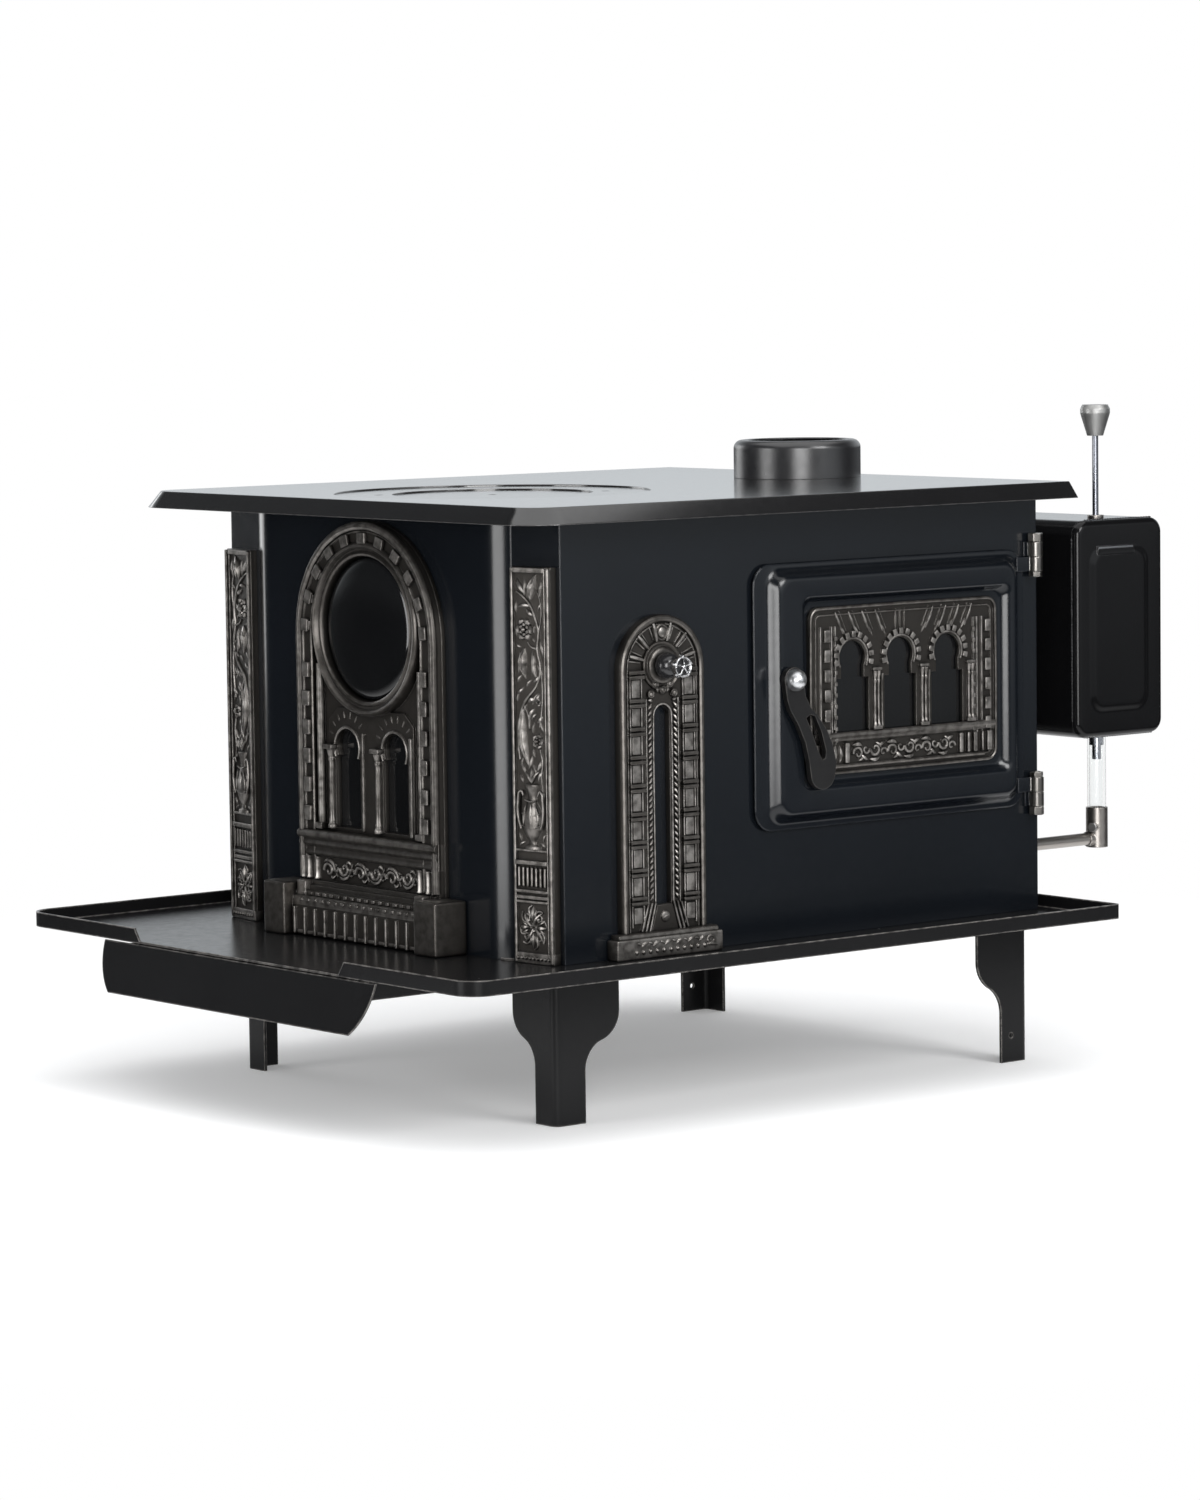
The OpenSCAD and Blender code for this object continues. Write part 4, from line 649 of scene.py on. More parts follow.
def corner_strip():
    strip = bmesh.new()
    slab(strip, [[(6.5, 2), (54.5, 2), (54.5, 359), (6.5, 359)]], 0, 7.6, 0.7)
    # raised edges, double on the outer side, and the cross bars
    for across, wide, high in ((8.1, 3.0, 10.4), (48.0, 1.7, 9.6), (52.6, 3.4, 10.8)):
        block(strip, across, 180.5, wide, 355, 6.5, high, 0.7)
    for up, tall, high in ((356.2, 4.6, 10.4), (104.5, 2.2, 9.6), (93.5, 4.0, 10.8), (67.5, 3.0, 10.2),
                           (62.0, 3.4, 9.4), (58.0, 2.4, 10.4)):
        block(strip, 28.5, up, 39, tall, 6.5, high, 0.6)
    # stem, leaves and rose
    strokes(strip, [
        [(13, 337, 0.9), (22, 332, 1.2), (30, 325, 1.3), (36, 314, 1.4), (40, 301, 1.3), (38, 286, 1.3),
         (42, 268, 1.2), (36, 252, 1.1), (24, 240, 1.2), (16, 226, 1.1), (13, 206, 1.1), (15, 186, 1.0)],
        [(40, 301, 1.0), (43.5, 316, 1.0), (42, 330, 0.8), (38, 338, 0.5)],
        [(38, 286, 1.1), (30, 288, 1.0), (26, 292, 0.7)],
        [(36, 252, 1.1), (30, 246, 1.3), (21, 238, 1.0), (14, 222, 0.6)],
        [(42, 268, 1.0), (44, 250, 1.0), (43, 232, 1.0), (40, 216, 0.8)],
        [(20, 236, 1.0), (26, 226, 1.0), (27, 214, 0.8)],
        [(40, 196, 1.0), (43, 184, 1.0), (41, 170, 0.9), (43, 158, 0.6)]], 7.8, flat=1.25)
    strokes(strip, [
        leaf((30, 330), (37, 353), 4.6, 1.5), leaf((41, 332), (43.5, 350), 2.2, -1.0),
        leaf((24, 335), (13, 350), 2.6, 1.2), leaf((22, 333), (22, 350), 2.0, -1.5),
        leaf((34, 316), (24, 322), 2.2, 1.0), leaf((30, 324), (13, 322), 1.9, -1.8),
        leaf((22, 286), (23, 259), 4.6, -3.0), leaf((31, 284), (30, 262), 2.4, 2.2),
        leaf((16, 282), (13, 262), 1.8, 1.5), leaf((41, 294), (45, 278), 1.9, 1.0),
        leaf((33, 276), (37, 258), 2.0, -1.6), leaf((40, 262), (31, 256), 1.8, 1.2)], 7.4, flat=0.95)
    strokes(strip, [
        leaf((19, 232), (27, 178), 4.8, -4.5), leaf((17, 218), (14, 190), 1.9, -1.2),
        leaf((26, 238), (36, 240), 2.4, 1.6), leaf((33, 232), (27, 222), 2.0, -1.4),
        leaf((40, 246), (32, 238), 1.9, 1.2), leaf((43, 226), (36, 220), 2.2, 1.3),
        leaf((30, 190), (24, 176), 1.8, 1.0), leaf((41, 186), (35, 176), 2.3, 1.4),
        leaf((43, 176), (37, 166), 1.9, -1.3), leaf((15, 184), (21, 172), 1.7, 1.2)], 7.4, flat=0.95)
    strokes(strip, [leaf((29.5 + side * 0.8, 331), (37 + side * 0.5, 350), 0.5, 1.5) for side in (-1, 1)]
            + [leaf((21.5, 284), (22.5, 262), 0.55, -3.0), leaf((20, 228), (26.5, 182), 0.6, -4.5)],
            11.2, flat=0.9)
    # small leaves that fill the ground between the larger ones
    strokes(strip, [leaf(root, tip, half, bow) for root, tip, half, bow in (
        ((12, 346), (17, 338), 1.3, 0.6), ((31, 341), (25, 345), 1.4, 0.8), ((44, 326), (39, 320), 1.4,
                                                                             -0.8),
        ((12, 318), (12, 328), 1.3, 0.5), ((13, 296), (12, 306), 1.3, 0.4), ((34, 300), (36, 308), 1.5,
                                                                             0.6),
        ((12, 290), (18, 287), 1.3, -0.6), ((31, 296), (35, 291), 1.3, 0.6),
                                                                            ((17, 274), (13, 270), 1.2,
                                                                             0.4),
        ((37, 272), (44, 262), 1.7, 1.0), ((13, 255), (18, 262), 1.5, 0.7), ((13, 246), (20, 251), 1.6,
                                                                             -0.8),
        ((24, 252), (30, 258), 1.4, 0.6), ((12, 238), (14, 246), 1.2, 0.3), ((31, 236), (38, 246), 1.5,
                                                                             0.9),
        ((20, 228), (24, 236), 1.3, 0.6), ((30, 222), (36, 228), 1.5, 0.7), ((31, 210), (33, 220), 1.4,
                                                                             0.6),
        ((44, 212), (41, 222), 1.3, 0.5), ((31, 196), (33, 188), 1.4, -0.6),
                                                                            ((12, 200), (12, 192), 1.1,
                                                                             0.3),
        ((18, 188), (15, 180), 1.3, 0.6), ((30, 182), (35, 172), 1.6, 0.9), ((14, 172), (18, 165), 1.4,
                                                                             0.7),
        ((39, 162), (44, 152), 1.5, 0.7), ((12, 120), (15, 112), 1.4, 0.6), ((45, 120), (42, 112), 1.4,
                                                                             -0.6),
        ((12, 108), (20, 112), 1.2, 0.6), ((45, 108), (37, 112), 1.2, -0.6))], 7.5, flat=1.0, fine=2,
            worn=0.7)
    rose(strip, 22.5, 303, 10.5, 6, 7.6, 4.2)
    rose(strip, 37.5, 203, 7.2, 5, 7.6, 4.0)
    rose(strip, 38.5, 238, 3.4, 4, 7.6, 3.0)
    # vase with its neck, body, foot and two handles
    strokes(strip, [[(29, up, half) for up, half in (
        (105.5, 10.5), (108, 10.2), (110, 5.0), (113, 4.6), (118, 9.0), (126, 13.0), (134, 13.6),
                                                     (142, 10.5),
        (148, 6.5), (153, 5.6), (158, 7.2), (162, 9.6), (164, 9.8))]], 7.0, flat=0.34, facets=3, worn=0.5)
    strokes(strip, [
        [(17, 124, 0.9), (13.5, 134, 1.2), (13.5, 148, 1.3), (17, 158, 1.0), (20, 154, 0.7)],
        [(41, 124, 0.9), (44.0, 134, 1.2), (44.0, 148, 1.3), (41, 158, 1.0), (38, 154, 0.7)],
        [(18, 127, 0.6), (29, 124.5, 0.8), (40, 127, 0.6)],
        [(18, 138, 0.6), (29, 135.5, 0.8), (40, 138, 0.6)],
        [(22, 150, 0.6), (29, 148.5, 0.8), (36, 150, 0.6)]], 10.2, flat=1.0)
    strokes(strip, [leaf((29 + side * 9, 127), (29 + side * 5, 147), 1.5, side * -1.0) for side in (-1, 1)]
            + [leaf((29, 126), (29, 147), 2.0)], 10.6, flat=0.6)
    strokes(strip, [leaf((29, 165), (29 + side * 9, 176), 1.8, side) for side in (-1, 1)]
            + [leaf((29, 165), (29, 180), 2.0)], 7.8, flat=1.0)
    # ribbed band
    for rib in range(7):
        block(strip, 12.8 + rib * 5.3, 80.5, 2.7, 17.5, 6.5, 10.4, 1.0)
    # square of scrolled leaves
    square = []
    for turn in range(4):
        lean = math.radians(45 + 90 * turn)
        centre = (28.5 + 11.4 * math.cos(lean), 35 + 13.0 * math.sin(lean))
        square.append(scroll(*centre, 6.4, 45 + 90 * turn, 1, 1.15, 1.15))
        square.append(leaf((28.5, 35), (28.5 + 16 * math.cos(lean), 35 + 19 * math.sin(lean)), 1.7, 2.2))
        side = math.radians(90 * turn)
        for lean_in, reach in ((0.22, 15.5), (-0.22, 15.5), (0.62, 11.0), (-0.62, 11.0)):
            square.append(leaf((28.5 + 6.5 * math.cos(side + lean_in), 35 + 7.5 * math.sin(side + lean_in)),
                               (28.5 + reach * math.cos(side + lean_in * 1.5),
                                35 + reach * 1.15 * math.sin(side + lean_in * 1.5)), 1.1, 0.6))
        square.append(leaf((28.5 + 5 * math.cos(side), 35 + 5 * math.sin(side)),
                           (28.5 + 16.5 * math.cos(side), 35 + 19.5 * math.sin(side)), 2.1, 0.0))
        square.append([(28.5 + 9 * math.cos(side + 0.5), 35 + 11 * math.sin(side + 0.5), 0.9),
                       (28.5 + 15 * math.cos(side + 0.35), 35 + 18 * math.sin(side + 0.35), 1.1),
                       (28.5 + 16.5 * math.cos(side + 0.05), 35 + 20 * math.sin(side + 0.05), 0.6)])
    strokes(strip, square, 7.8, flat=1.25)
    rose(strip, 28.5, 35, 4.6, 4, 7.8, 3.2)
    # foot with its row of beads
    block(strip, 30.5, 7, 49, 10, 0, 9.6, 0.9)
    for bead in range(9):
        turned(strip, 10.5 + bead * 4.8, 7, [(1.9, 9.0), (1.7, 10.3), (1.0, 11.2), (0, 11.5)], 8)
    return strip


# the corner facet leaves the front at 196 mm across and meets the side 8.3 mm further back
facet = math.atan2(18 - 9.7, 255 - 196)
for hand, side in ((1, "right"), (-1, "left")):
    corner_wall = wall((hand * 196, 9.7 - 286.5, 146), (hand * math.cos(facet), math.sin(facet), 0),
                       (hand * math.sin(facet), -math.cos(facet), 0))
    cast(corner_strip(), corner_wall, "corner_casting_" + side, "corner_strip_" + side, cast_ornament)


# Side arch. A narrow round-headed casting over the air inlet, bolted to the side sheet: a
# rolled border, banded bars, a roped edge round the long slot, rays about the knob and a
# plinth with a row of beads.
side_wall = wall((255, 127.5 - 286.5, 146), (0, 1, 0), (1, 0, 0))
knob_height = 266
inlet = bmesh.new()
slab(inlet, [arch_rim(49, 2, 312), [(across, up) for across, up in arch_rim(9, 49, 230, bends=12)]], 0, 6.6,
     0.5)
edges = []
for half, thick in ((45.6, 3.3), (40.2, 1.0)):
    jamb = [(half, up, thick) for up in (22, 90, 180, 255)]
    head = [(half * math.cos(math.radians(angle)), 263 + half * math.sin(math.radians(angle)), thick)
            for angle in range(0, 181, 15)]
    edges.append(jamb + head + [(-across, up, thick) for across, up, thick in reversed(jamb)])
strokes(inlet, edges[:1], 7.1, facets=3, worn=0.2)
strokes(inlet, edges[1:], 6.8, flat=1.3, worn=0.5)
# banded bars down both sides
for hand in (-1, 1):
    for rib in (24.2, 37.4):
        strokes(inlet, [[(hand * rib, up, 1.15) for up in (30, 120, 200, 262)]], 7.0, flat=1.3)
    for band in range(9):
        up = 54 + band * 25.6
        for line in (-2.3, 2.3):
            block(inlet, hand * 30.8, up + line, 18.5, 3.4, 6.0, 10.8, 0.9, worn=0.15)
        if band < 8:
            block(inlet, hand * 30.8, up + 12.8, 9.6, 16.6, 6.0, 8.4, 0.8, worn=0.75)
    block(inlet, hand * 30.8, 40.5, 9.6, 15, 6.0, 8.4, 0.8, worn=0.75)
# roped edge of the slot, with a plain line inside it
for hand in (-1, 1):
    for bead in range(32):
        strokes(inlet, [[(hand * 16.6, 53.5 + bead * 5.6, 0.8), (hand * 14.9, 55.7 + bead * 5.6, 1.7),
                         (hand * 13.1, 58.2 + bead * 5.6, 0.8)]], 7.4, flat=1.2, fine=2)
    strokes(inlet, [[(hand * 18.6, up, 0.9) for up in (50, 120, 190, 236)]], 6.8, flat=1.4)
strokes(inlet, [[(across, up, 1.1) for across, up in arch_rim(10.6, 51, 231, bends=8)[1:]] + [(-10.6, 51,
                                                                                               1.1)]],
        6.9, flat=1.5)
for angle in range(15, 166, 25):
    turn = math.radians(angle)
    strokes(inlet, [[(reach * math.cos(turn), 231 + reach * math.sin(turn), half)
                     for reach, half in ((12.2, 0.9), (14.6, 1.7), (17.0, 0.8))]], 7.4, flat=1.2, fine=2)
# trefoil under the knob
for across, up in ((-8.5, 249), (8.5, 249), (0, 244), (-13.5, 240.5), (13.5, 240.5)):
    turned(inlet, across, up, [(4.0, 6.4), (3.9, 8.6), (3.1, 9.5), (2.3, 8.8), (1.6, 9.6), (0, 10.4)], 18)
# turned seat of the knob, five rays, webs between them and the upper screw
turned(inlet, 0, knob_height, [(22.5, 6.0), (22.4, 8.2), (21.3, 9.3), (19.8, 8.9), (18.8, 8.0), (17.2, 8.2),
                               (16.4, 9.8), (15.0, 10.7), (12.5, 10.9), (0, 10.9)], 48, 0.25)
for angle in range(15, 166, 30):
    turn = math.radians(angle)
    strokes(inlet, [[(reach * math.cos(turn), knob_height + reach * math.sin(turn), half)
                     for reach, half in ((22.5, 1.6), (27, 2.0), (34, 2.3), (39.5, 1.7))]], 7.0, flat=1.5,
            fine=2)
    for lean in (-7, 7):
        turn = math.radians(angle + lean)
        strokes(inlet, [[(reach * math.cos(turn), knob_height + reach * math.sin(turn), half)
                         for reach, half in ((25, 0.6), (31, 0.9), (38.5, 0.6))]], 6.9, flat=1.3, fine=2)
turned(inlet, 0, 296, [(8.2, 6.4), (8.0, 8.4), (6.6, 9.2), (5.6, 8.4), (5.0, 8.2), (4.6, 9.2), (3.4, 9.9),
                       (0, 10.2)], 24)
# foot of the slot: doubled sloping bars, a tapered plate and the lower screw
for hand in (-1, 1):
    for start, end in (((10.5, 51), (18.0, 25)), ((14.8, 51), (22.6, 25)), ((19.4, 50), (27.0, 26))):
        strokes(inlet, [[(hand * start[0], start[1], 1.2), (hand * end[0], end[1], 1.5)]], 7.2, flat=1.5,
                fine=1)
slab(inlet, [[(-16, 24), (16, 24), (9.0, 48.6), (-9.0, 48.6)]], 6.5, 8.4, 0.7)
turned(inlet, 0, 38, [(5.0, 8.0), (4.9, 9.3), (4.0, 9.9), (0, 10.1)], 20)
block(inlet, 0, 38, 6.4, 1.0, 9.6, 10.4, 0.3, 24)
# plinth with beads and two small curled leaves
moulding(inlet, -58, 58, [(25.4, 2), (25.4, 11.8), (24.4, 13.4), (22.6, 14.0), (21, 14.0), (21, 2)])
block(inlet, 0, 11.5, 124, 19, 0, 16.4, 1.8)
for bead in range(11):
    turned(inlet, -40 + bead * 8, 8.6, [(2.2, 16.0), (2.0, 17.0), (1.2, 17.6), (0, 17.8)], 10)
for bead in range(6):
    strokes(inlet, [leaf((-34 + bead * 13.6, 13.0), (-25 + bead * 13.6, 16.6), 1.6, 1.4),
                    leaf((-34 + bead * 13.6, 14.0), (-41 + bead * 13.6, 16.8), 1.3, -1.0)], 16.0, flat=0.9,
            fine=2)
strokes(inlet, [scroll(48, 13, 4.8, 200, -1, 1.2, 1.1), leaf((42, 9), (56, 7), 1.8, 1.5)], 16.1, flat=1.0)
cast(inlet, side_wall, "side_arch_casting", "side_arch", cast_ornament)

# Air knob. A black domed base and a chromed five-lobed end on one spindle; turning it swings the
# round shutter behind the panel.
base_black = coat("knob_base_black", (0.012, 0.012, 0.013), (0.018, 0.018, 0.019), 0.18, shine=0.6,
                  rub=(0.2, 0.2, 0.2), rub_amount=0.4, depth=0.00002)
chrome = coat("chrome", (0.52, 0.52, 0.53), (0.62, 0.62, 0.63), 0.20, metal=1.0, rub=(0.85, 0.85, 0.85),
              depth=0.00001)
knob = bmesh.new()
turned(knob, 0, knob_height, [(0, -8), (4.2, -8), (4.2, 11.2), (10.6, 11.2), (11.6, 12.4), (12.0, 14.8),
                              (11.8, 17.4), (10.9, 20.2), (9.2, 22.6), (7.0, 24.2), (5.2, 24.8), (5.0, 30),
                              (0, 30)], 48)
turned(knob, 0, knob_height, [(0, 37.6), (8.4, 37.6), (8.4, 36.4), (0, 36.4)], 40)
black_faces = len(knob.faces)
turned(knob, 0, knob_height, [(4.6, 26.8), (6.4, 27.4), (7.6, 29.0), (8.4, 31.6), (9.2, 34.8), (9.7, 37.8),
                              (9.5, 39.0), (8.8, 39.4), (8.0, 38.8), (7.8, 37.2), (7.4, 34.0), (4.6, 30.0),
                              (4.6, 26.8)], 40)
turned(knob, 0, knob_height, [(2.4, 37.0), (2.2, 40.2), (1.4, 41.0), (0, 41.2)], 20)
for lobe in range(5):
    turn = math.tau * (lobe + 0.25) / 5
    strokes(knob, [[(reach * math.cos(turn), knob_height + reach * math.sin(turn), half)
                    for reach, half in ((7.4, 1.4), (8.8, 2.6), (10.2, 2.5), (11.5, 1.0))]], 35.4, flat=1.5,
            facets=3)
    strokes(knob, [[(reach * math.cos(turn), knob_height + reach * math.sin(turn), half)
                    for reach, half in ((1.0, 0.9), (5.0, 0.8), (9.0, 1.3))]], 39.2, flat=1.2, fine=2)
knob.faces.ensure_lookup_table()
for face in knob.faces[black_faces:]:
    face.material_index = 1
knob.transform(side_wall)
bmesh.ops.recalc_face_normals(knob, faces=knob.faces)
star_knob = finished(knob, "air_star_knob", base_black, chrome)
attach(star_knob, "air_control")
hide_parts("air_knob")
dress(liner_black, "air_shutter")
dress(zinc, "panel_nuts")



# Door skin. One pressed sheet with two soft swages: a frame that stands out and a sunk field for
# the casting; enamelled like the casing.
def soft_rim(left, foot, right, top, radius, bends=8):
    corners = ((right - radius, top - radius, 0), (left + radius, top - radius, 90),
               (left + radius, foot + radius, 180), (right - radius, foot + radius, 270))
    return [(across + radius * math.cos(math.radians(start + 90 * step / bends)),
             up + radius * math.sin(math.radians(start + 90 * step / bends)))
            for across, up, start in corners for step in range(bends + 1)]


def pressed(shape, steps, thick, closed=False):
    """A sheet pressed over the given rims, each (left, foot, right, top, radius, height)."""
    rims = [[(across, up, height) for across, up in soft_rim(left, foot, right, top, radius)]
            for left, foot, right, top, radius, height in steps]
    points = [shape.verts.new(place) for place in rims[0]]
    lines = [shape.edges.new(pair) for pair in zip(points, points[1:] + points[:1])]
    for rim in rims[1:]:
        drawn = bmesh.ops.extrude_edge_only(shape, edges=lines)["geom"]
        fresh = {part for part in drawn if isinstance(part, bmesh.types.BMVert)}
        lines = [part for part in drawn if isinstance(part, bmesh.types.BMEdge)
                 and all(end in fresh for end in part.verts)]
        points = [next(line.other_vert(point) for line in point.link_edges if line.other_vert(point) in fresh)
                  for point in points]
        for point, place in zip(points, rim):
            point.co = place
    if closed:
        bmesh.ops.holes_fill(shape, edges=lines, sides=0)
    bmesh.ops.recalc_face_normals(shape, faces=shape.faces)
    if sum(face.normal.z * face.calc_area() for face in shape.faces) < 0:
        bmesh.ops.reverse_faces(shape, faces=shape.faces)
    bmesh.ops.solidify(shape, geom=list(shape.faces), thickness=thick)


def swage(start, end, count=7):
    """Rims that ease from one size and height to the next, as a press tool does."""
    made = []
    for step in range(count + 1):
        way = step / count
        ease = way * way * (3 - 2 * way)
        made.append([first + (last - first) * way for first, last in zip(start[:5], end[:5])]
                    + [start[5] + (end[5] - start[5]) * ease])
    return made


door_wall = wall((255, -286.5, 146), (0, 1, 0), (1, 0, 0))
door = bmesh.new()
pressed(door, [(239.0, 104.0, 578.0, 351.0, 20.0, 3.6), (239.2, 104.2, 577.8, 350.8, 19.8, 4.4),
               (240.0, 105.0, 577.0, 350.0, 19.0, 5.0)]
        + swage((253.0, 109.5, 570.5, 347.5, 16.0, 5.0), (266.5, 120.0, 559.5, 336.0, 13.0, 13.5), 8)
        + [(269.0, 122.0, 558.6, 334.0, 12.0, 13.5)]
        + swage((291.0, 139.0, 555.6, 320.0, 9.0, 13.5), (299.0, 148.0, 543.0, 313.0, 8.0, 7.0), 8)
        + [(325.0, 185.0, 505.0, 282.0, 4.0, 7.0), (325.6, 185.6, 504.4, 281.4, 3.6, 6.4),
           (325.6, 185.6, 504.4, 281.4, 3.6, 5.5)], 1.4)
cast(door, door_wall, "door_pressed_skin", "door_skin", casing_enamel, "door")

# Door casting. The same iron as the panels, screwed through the skin: a double frame, brick
# jambs, roof ribs, three horseshoe lights with paired columns, and a band of scrolls.
light_places = (355.0, 414.5, 474.0)


def light_rim(middle, grow=0.0, bends=16):
    head, neck, wide = 16 + grow, 14 + grow, 20 + grow
    start = math.acos(neck / head)
    arc = [(middle + head * math.cos(angle), 260 + head * math.sin(angle))
           for angle in (-start + (math.pi + 2 * start) * step / bends for step in range(bends + 1))]
    return ([(middle - wide, 191 - grow), (middle + wide, 191 - grow), (middle + wide, 241),
             (middle + neck, 241)]
            + arc + [(middle - neck, 241), (middle - wide, 241)])


gate = bmesh.new()
slab(gate, [soft_rim(301, 152, 537, 309, 12)] + [light_rim(middle) for middle in light_places], 6.6, 10.2,
     0.8)
for inset, thick in ((1.9, 1.7), (8.0, 0.9)):
    rim = soft_rim(301 + inset, 152 + inset, 537 - inset, 309 - inset, 12 - inset * 0.8, 4)
    strokes(gate, [[(across, up, thick) for across, up in rim]], 10.6, flat=1.2, loop=True, fine=2,
            facets=2,
            worn=0.3)
# brick jambs between thin ridges
for jamb, lines in ((322, (315, 328.5, 333)), (524.5, (517.8, 511.5, 507))):
    for course in range(6):
        block(gate, jamb, 189 + course * 18.5, 7.5, 11.5, 9.5, 13.6, 1.0, worn=0.8)
    for across in lines:
        strokes(gate, [[(across, up, 1.15) for up in (180, 215, 250, 290)]], 10.2, flat=1.35)
    for notch in range(10):
        block(gate, lines[2], 184 + notch * 10.5, 3.4, 4.0, 9.8, 12.6, 0.6, worn=0.7)
# roof ribs, falling inward from both sides, and the short ones under them
for rib in range(4):
    for hand, start in ((1, 333 + rib * 16.5), (-1, 505 - rib * 16.5)):
        strokes(gate, [[(start, 303, 1.0), (start + hand * 3.5, 295, 1.7), (start + hand * 9.5, 283, 1.0)]],
                10.4,
                flat=1.3, fine=2)
        strokes(gate, [[(start + hand * 5.0, 304, 0.6), (start + hand * 14.0, 285, 0.6)]], 10.3, flat=1.2,
                fine=1,
                worn=0.5)
        strokes(gate, [leaf((start + hand * 8, 289), (start + hand * 14, 279), 1.2)], 10.2, flat=1.0)
for rib in range(3):
    strokes(gate, [[(409 + rib * 5.5, 303, 0.8), (409 + rib * 5.5, 292, 1.2), (409 + rib * 5.5, 284, 0.6)]],
            10.2,
            flat=1.0, fine=2, worn=0.5)
# voussoirs, rims, paired columns, caps and feet of the three lights
for middle in light_places:
    strokes(gate, [[(across, up, 1.2) for across, up in light_rim(middle, 2.2)[4:-2]]], 10.3, flat=1.3)
    for stone in range(11):
        angle = -12 + stone * 20.4
        turn = math.radians(angle)
        block(gate, middle + 22.0 * math.cos(turn), 260 + 22.0 * math.sin(turn), 5.6, 5.0, 9.6, 13.0, 0.8,
              angle,
              worn=0.85)
    for across, thick in ((middle + 26.6, 1.7), (middle + 31.0, 1.7)):
        strokes(gate, [[(across, up, thick * full) for up, full in (
            (194, 1.35), (196.5, 1.4), (198.5, 0.95), (204, 0.9), (220, 0.86), (234, 0.9), (237, 1.25),
            (239, 1.0), (243, 1.45), (246, 1.6))]], 10.6, flat=1.25, fine=2, facets=2)
    block(gate, middle + 28.8, 193, 11.0, 3.4, 9.5, 14.0, 0.8)
    block(gate, middle + 28.8, 248, 11.5, 3.0, 9.5, 13.6, 0.8)
    strokes(gate, [[(middle - 23.6, up, half) for up, half in ((194, 1.6), (200, 1.1), (236, 1.1),
                                                               (243, 1.9))]],
            10.4, flat=1.1, fine=2)
# moulding and the band of scrolls with its bars
moulding(gate, 305, 533, [(191, 8), (191, 12.6), (189.8, 14.0), (187.6, 14.2), (186, 13.0), (184.8, 12.2),
                          (183.4, 12.4), (182.2, 11.4), (182.2, 8)])
moulding(gate, 318, 520, [(161.2, 8), (161.2, 11.8), (159.8, 12.8), (158.0, 12.2), (157.2, 10.8),
                          (157.2, 8)])
for across, wide in ((309.5, 4.4), (316.5, 2.6), (345.5, 5.4), (489.5, 4.6), (499.0, 3.4), (507.5, 4.6),
                     (517.0, 2.4), (526.0, 6.4)):
    block(gate, across, 171.6, wide, 18.5, 9.5, 13.8, 1.1, worn=0.9)
strokes(gate, [leaf((330.5, 163), (333, 180), 3.4, 1.0), leaf((337.5, 163), (338, 179), 2.4, -1.0)], 10.4,
        flat=0.8)
garland = []
for link in range(6):
    across = 360 + link * 21.6
    hand = 1 if link % 2 else -1
    garland.append(scroll(across, 171.5 + hand * 1.5, 6.6, 180, hand, 1.9, 1.0))
    garland.append(scroll(across + 10, 171.5 - hand * 2.0, 4.6, 0, hand, 1.6, 0.9))
    garland.append(leaf((across - 7, 171 - hand * 7), (across + 6, 171 - hand * 5.5), 2.3, hand * -1.6))
    garland.append(leaf((across + 4, 172 + hand * 3), (across + 13, 171 + hand * 7.5), 2.0, hand * 1.2))
    garland.append(leaf((across + 1, 171 + hand * 8), (across + 8, 171 + hand * 2), 1.6, hand * 0.8))
strokes(gate, garland, 10.6, flat=1.2)
cast(gate, door_wall, "door_casting_gate", "door_casting", cast_ornament, "door")

# Door glass, liner and seal. A flat ceramic pane behind the three lights, a steel tray that keeps
# the fire off the skin, four screws and a woven rope that closes the joint.
dress(dark_glass, "door_glass")
dress(liner_black, "door_liner")
dress(zinc, "door_screws")
seal_rope = coat("seal_rope", (0.10, 0.095, 0.09), (0.17, 0.16, 0.15), 0.9, grain=1500.0, depth=0.0003,
                 rub=(0.2, 0.19, 0.18))
dress(seal_rope, "door_seal")

# Hinges. Two loose-pin hinges of nickel-plated steel; their leaves are enamelled over with the
# sheets they are riveted to, and each pin is held by a nut.
nickel = coat("dull_nickel", (0.16, 0.15, 0.14), (0.26, 0.25, 0.235), 0.30, metal=1.0,
              rub=(0.75, 0.72, 0.68),
              rub_amount=0.9, depth=0.00008)
hinge_axis = Vector((0.2625, 0.592 - 0.2865))
for node, body in (("hinge_door_leaves", "door"), ("hinge_case_leaves", "stove")):
    shape = eased(node, 0.0005)
    for face in shape.faces:
        spot = face.calc_center_median()
        face.material_index = 0 if (Vector((spot.x, spot.y)) - hinge_axis).length < 0.0074 else 1
    leaves = finished(shape, node.replace("leaves", "plates"), nickel, casing_enamel)
    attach(leaves, body)
    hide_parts(node)
for node, name in (("hinge_pins", "hinge_pin_pair"), ("hinge_nuts", "hinge_pin_nuts")):
    turning = finished(eased(node, 0.0006, least=28), name, nickel)
    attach(turning, "stove")
    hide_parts(node)

# Latch. A forged lever, painted black, with a drop-shaped slot through its grip; a domed chrome nut
# clamps it to the spindle, whose tongue draws behind the catch on the casing.
lever_black = coat("lever_black", (0.006, 0.006, 0.0065), (0.011, 0.0105, 0.0105), 0.32, shine=0.4,
                   rub=(0.13, 0.12, 0.11), rub_amount=0.8)
lever = finished(eased("latch_handle", 0.0016, steps=3, least=50), "latch_lever", lever_black)
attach(lever, "latch")
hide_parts("latch_handle")
dome_chrome = coat("dome_chrome", (0.62, 0.63, 0.65), (0.70, 0.71, 0.72), 0.34, metal=1.0,
                   rub=(0.9, 0.9, 0.9),
                   depth=0.00001)
dress(dome_chrome, "latch_dome_nut")
dress(liner_black, "latch_tongue", "latch_catch")

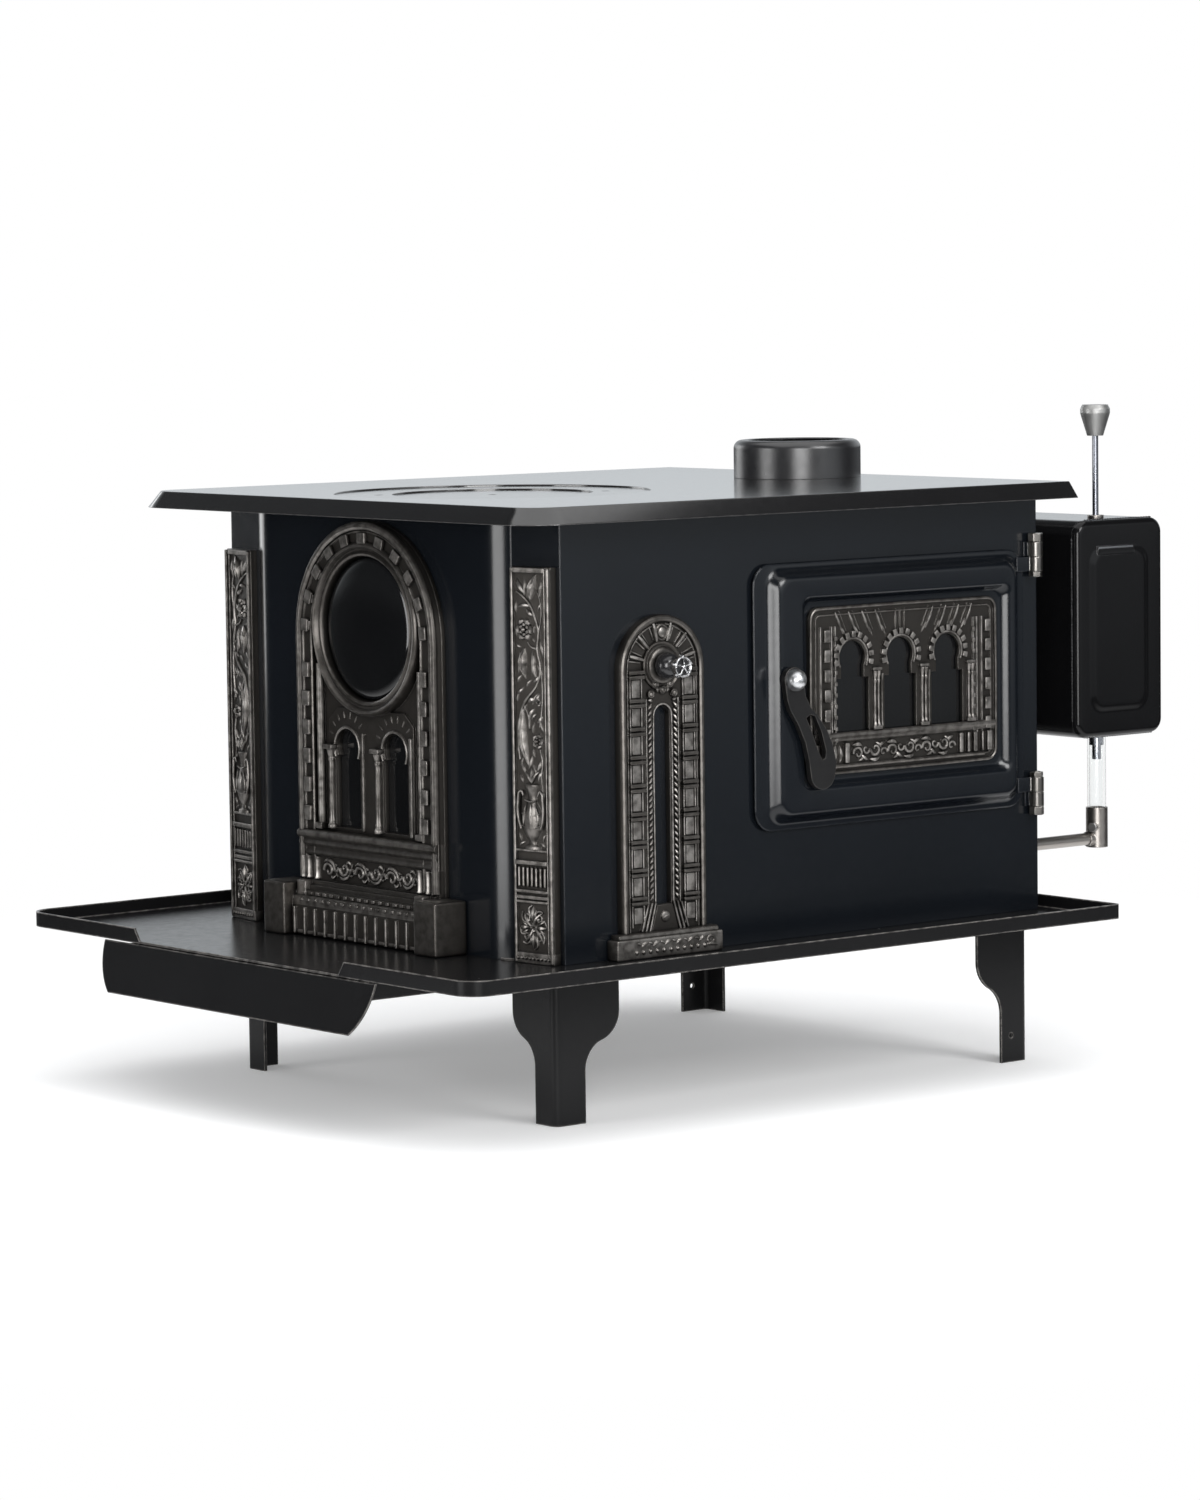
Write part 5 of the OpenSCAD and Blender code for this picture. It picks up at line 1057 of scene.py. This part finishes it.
# Oil tank. A wrapper of 1.5 mm sheet closed by two pressed end pans, each with a raised panel and a
# label holder; welded, then dipped in black gloss. Two brackets carry it on the back panel.
tank_gloss = coat("tank_gloss", (0.0035, 0.0035, 0.0038), (0.0055, 0.0055, 0.006), 0.15, shine=0.25,
                  rub=(0.10, 0.10, 0.105), rub_width=0.001, rub_amount=0.6, depth=0.00002)
dress(tank_gloss, "tank_body", "filler_cap")
label_steel = coat("label_steel", (0.30, 0.31, 0.33), (0.42, 0.43, 0.45), 0.35, metal=1.0,
                   rub=(0.7, 0.7, 0.7))
for hand, seam, side in ((1, 268, "right"), (-1, -138, "left")):
    pan = bmesh.new()
    rounding = [(635 + 6 - 6 * math.cos(math.radians(turn)), 165 + 6 - 6 * math.cos(math.radians(turn)),
                 751 - 6 + 6 * math.cos(math.radians(turn)), 375 - 6 + 6 * math.cos(math.radians(turn)),
                 14 - 6 + 6 * math.cos(math.radians(turn)), 1 + 6 * math.sin(math.radians(turn)))
                for turn in range(0, 91, 15)]
    pressed(pan, [(635, 165, 751, 375, 14, -1)] + rounding
            + swage((651.0, 188.0, 731.0, 350.0, 17, 7.0), (659.0, 196.0, 723.0, 342.0, 11, 8.8), 8)
            + [(662, 199, 720, 339, 9, 8.8)], 1.4, closed=True)
    # label holder, and the weld that joins pan and wrapper
    block(pan, 685.5, 345.5, 49, 9, 6.2, 8.9, 0.8)
    weld = [(742, 375.1), (700, 375.2), (652, 375.1), (640, 371), (634.9, 359), (634.8, 320), (634.8, 270),
            (634.8, 220), (634.9, 181), (640, 169), (652, 164.9), (700, 164.8), (742, 164.9)]
    for start, end in zip(weld, weld[1:]):
        run = math.dist(start, end)
        beads = max(int(run / 3.4), 1)
        for bead in range(beads):
            way = (bead + 0.5) / beads
            spot = [first + (last - first) * way for first, last in zip(start, end)]
            strokes(pan, [[(spot[0] - (end[0] - start[0]) / run * 1.3,
                            spot[1] - (end[1] - start[1]) / run * 1.3, 0.5),
                           (spot[0] + (end[0] - start[0]) / run * 1.3,
                            spot[1] + (end[1] - start[1]) / run * 1.3,
                            0.9)]], -0.6, fine=1)
    drawn = len(pan.faces)
    block(pan, 685.5, 348.4, 46, 1.7, 8.2, 9.0, 0.3)
    pan.faces.ensure_lookup_table()
    for face in pan.faces[drawn:]:
        face.material_index = 1
    pan.transform(wall((seam, -286.5, 146), (0, 1, 0), (hand, 0, 0)))
    bmesh.ops.recalc_face_normals(pan, faces=pan.faces)
    pan = finished(pan, "tank_end_" + side, tank_gloss, label_steel)
    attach(pan, "stove")
    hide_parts("tank_cap_" + side)
dress(tray_black, "tank_brackets")
dress(zinc, "bracket_screws")

# Oil valve. A gland nut in the top of the tank guides a bright steel rod, ground to a needle below;
# its flared aluminium knob screws it down. A threaded neck beside it takes the filler cap.
valve_steel = coat("valve_steel", (0.26, 0.24, 0.225), (0.36, 0.335, 0.315), 0.34, metal=1.0,
                   rub=(0.75, 0.72, 0.68), depth=0.0001)
rod_steel = coat("rod_steel", (0.20, 0.21, 0.24), (0.30, 0.31, 0.34), 0.28, metal=1.0,
                 rub=(0.7, 0.7, 0.72), depth=0.00005)
knob_aluminium = coat("matt_aluminium", (0.36, 0.36, 0.355), (0.46, 0.46, 0.45), 0.46, metal=1.0,
                      rub=(0.7, 0.7, 0.7), depth=0.00012)
dress(valve_steel, "valve_gland", "filler_neck")
dress(rod_steel, "valve_rod")
dress(knob_aluminium, "valve_knob")

# Feed line. The oil drips from a brass nozzle into a clear tube, where it can be counted, and runs
# through a socket with a drain plug and a bent pipe to the burner pot.
clear_tube = pane("clear_tube", (0.95, 0.97, 0.97), 1.0, 0.02)
dress(clear_tube, "sight_tube")
dress(rod_steel, "drip_nozzle")
pipe_steel = coat("pipe_steel", (0.30, 0.28, 0.26), (0.42, 0.395, 0.37), 0.32, metal=1.0,
                  rub=(0.78, 0.75, 0.71), depth=0.0001)
dress(pipe_steel, "feed_socket", "feed_pipe")
plug_zinc = coat("plug_zinc", (0.24, 0.235, 0.23), (0.34, 0.33, 0.32), 0.36, metal=1.0, rub=(0.6, 0.6, 0.6))
dress(plug_zinc, "plug_screw")

# Fire box. The cast burner pot stands on the floor sheet for oil, under the grate for wood; a
# steel baffle on two ledges turns the flames forward.
dress(cast_plain, "grate", "burner_pot", "baffle", "baffle_ledges")

# Ash drawer. A folded box of black sheet that slides on two rails under the tray; its leaning
# front fills the gap in the tray's rim and serves as the grip.
drawer = finished(eased("ash_drawer", 0.0007), "ash_drawer_box", tray_black)
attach(drawer, "drawer")
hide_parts("ash_drawer")
dress(tray_black, "drawer_rails")
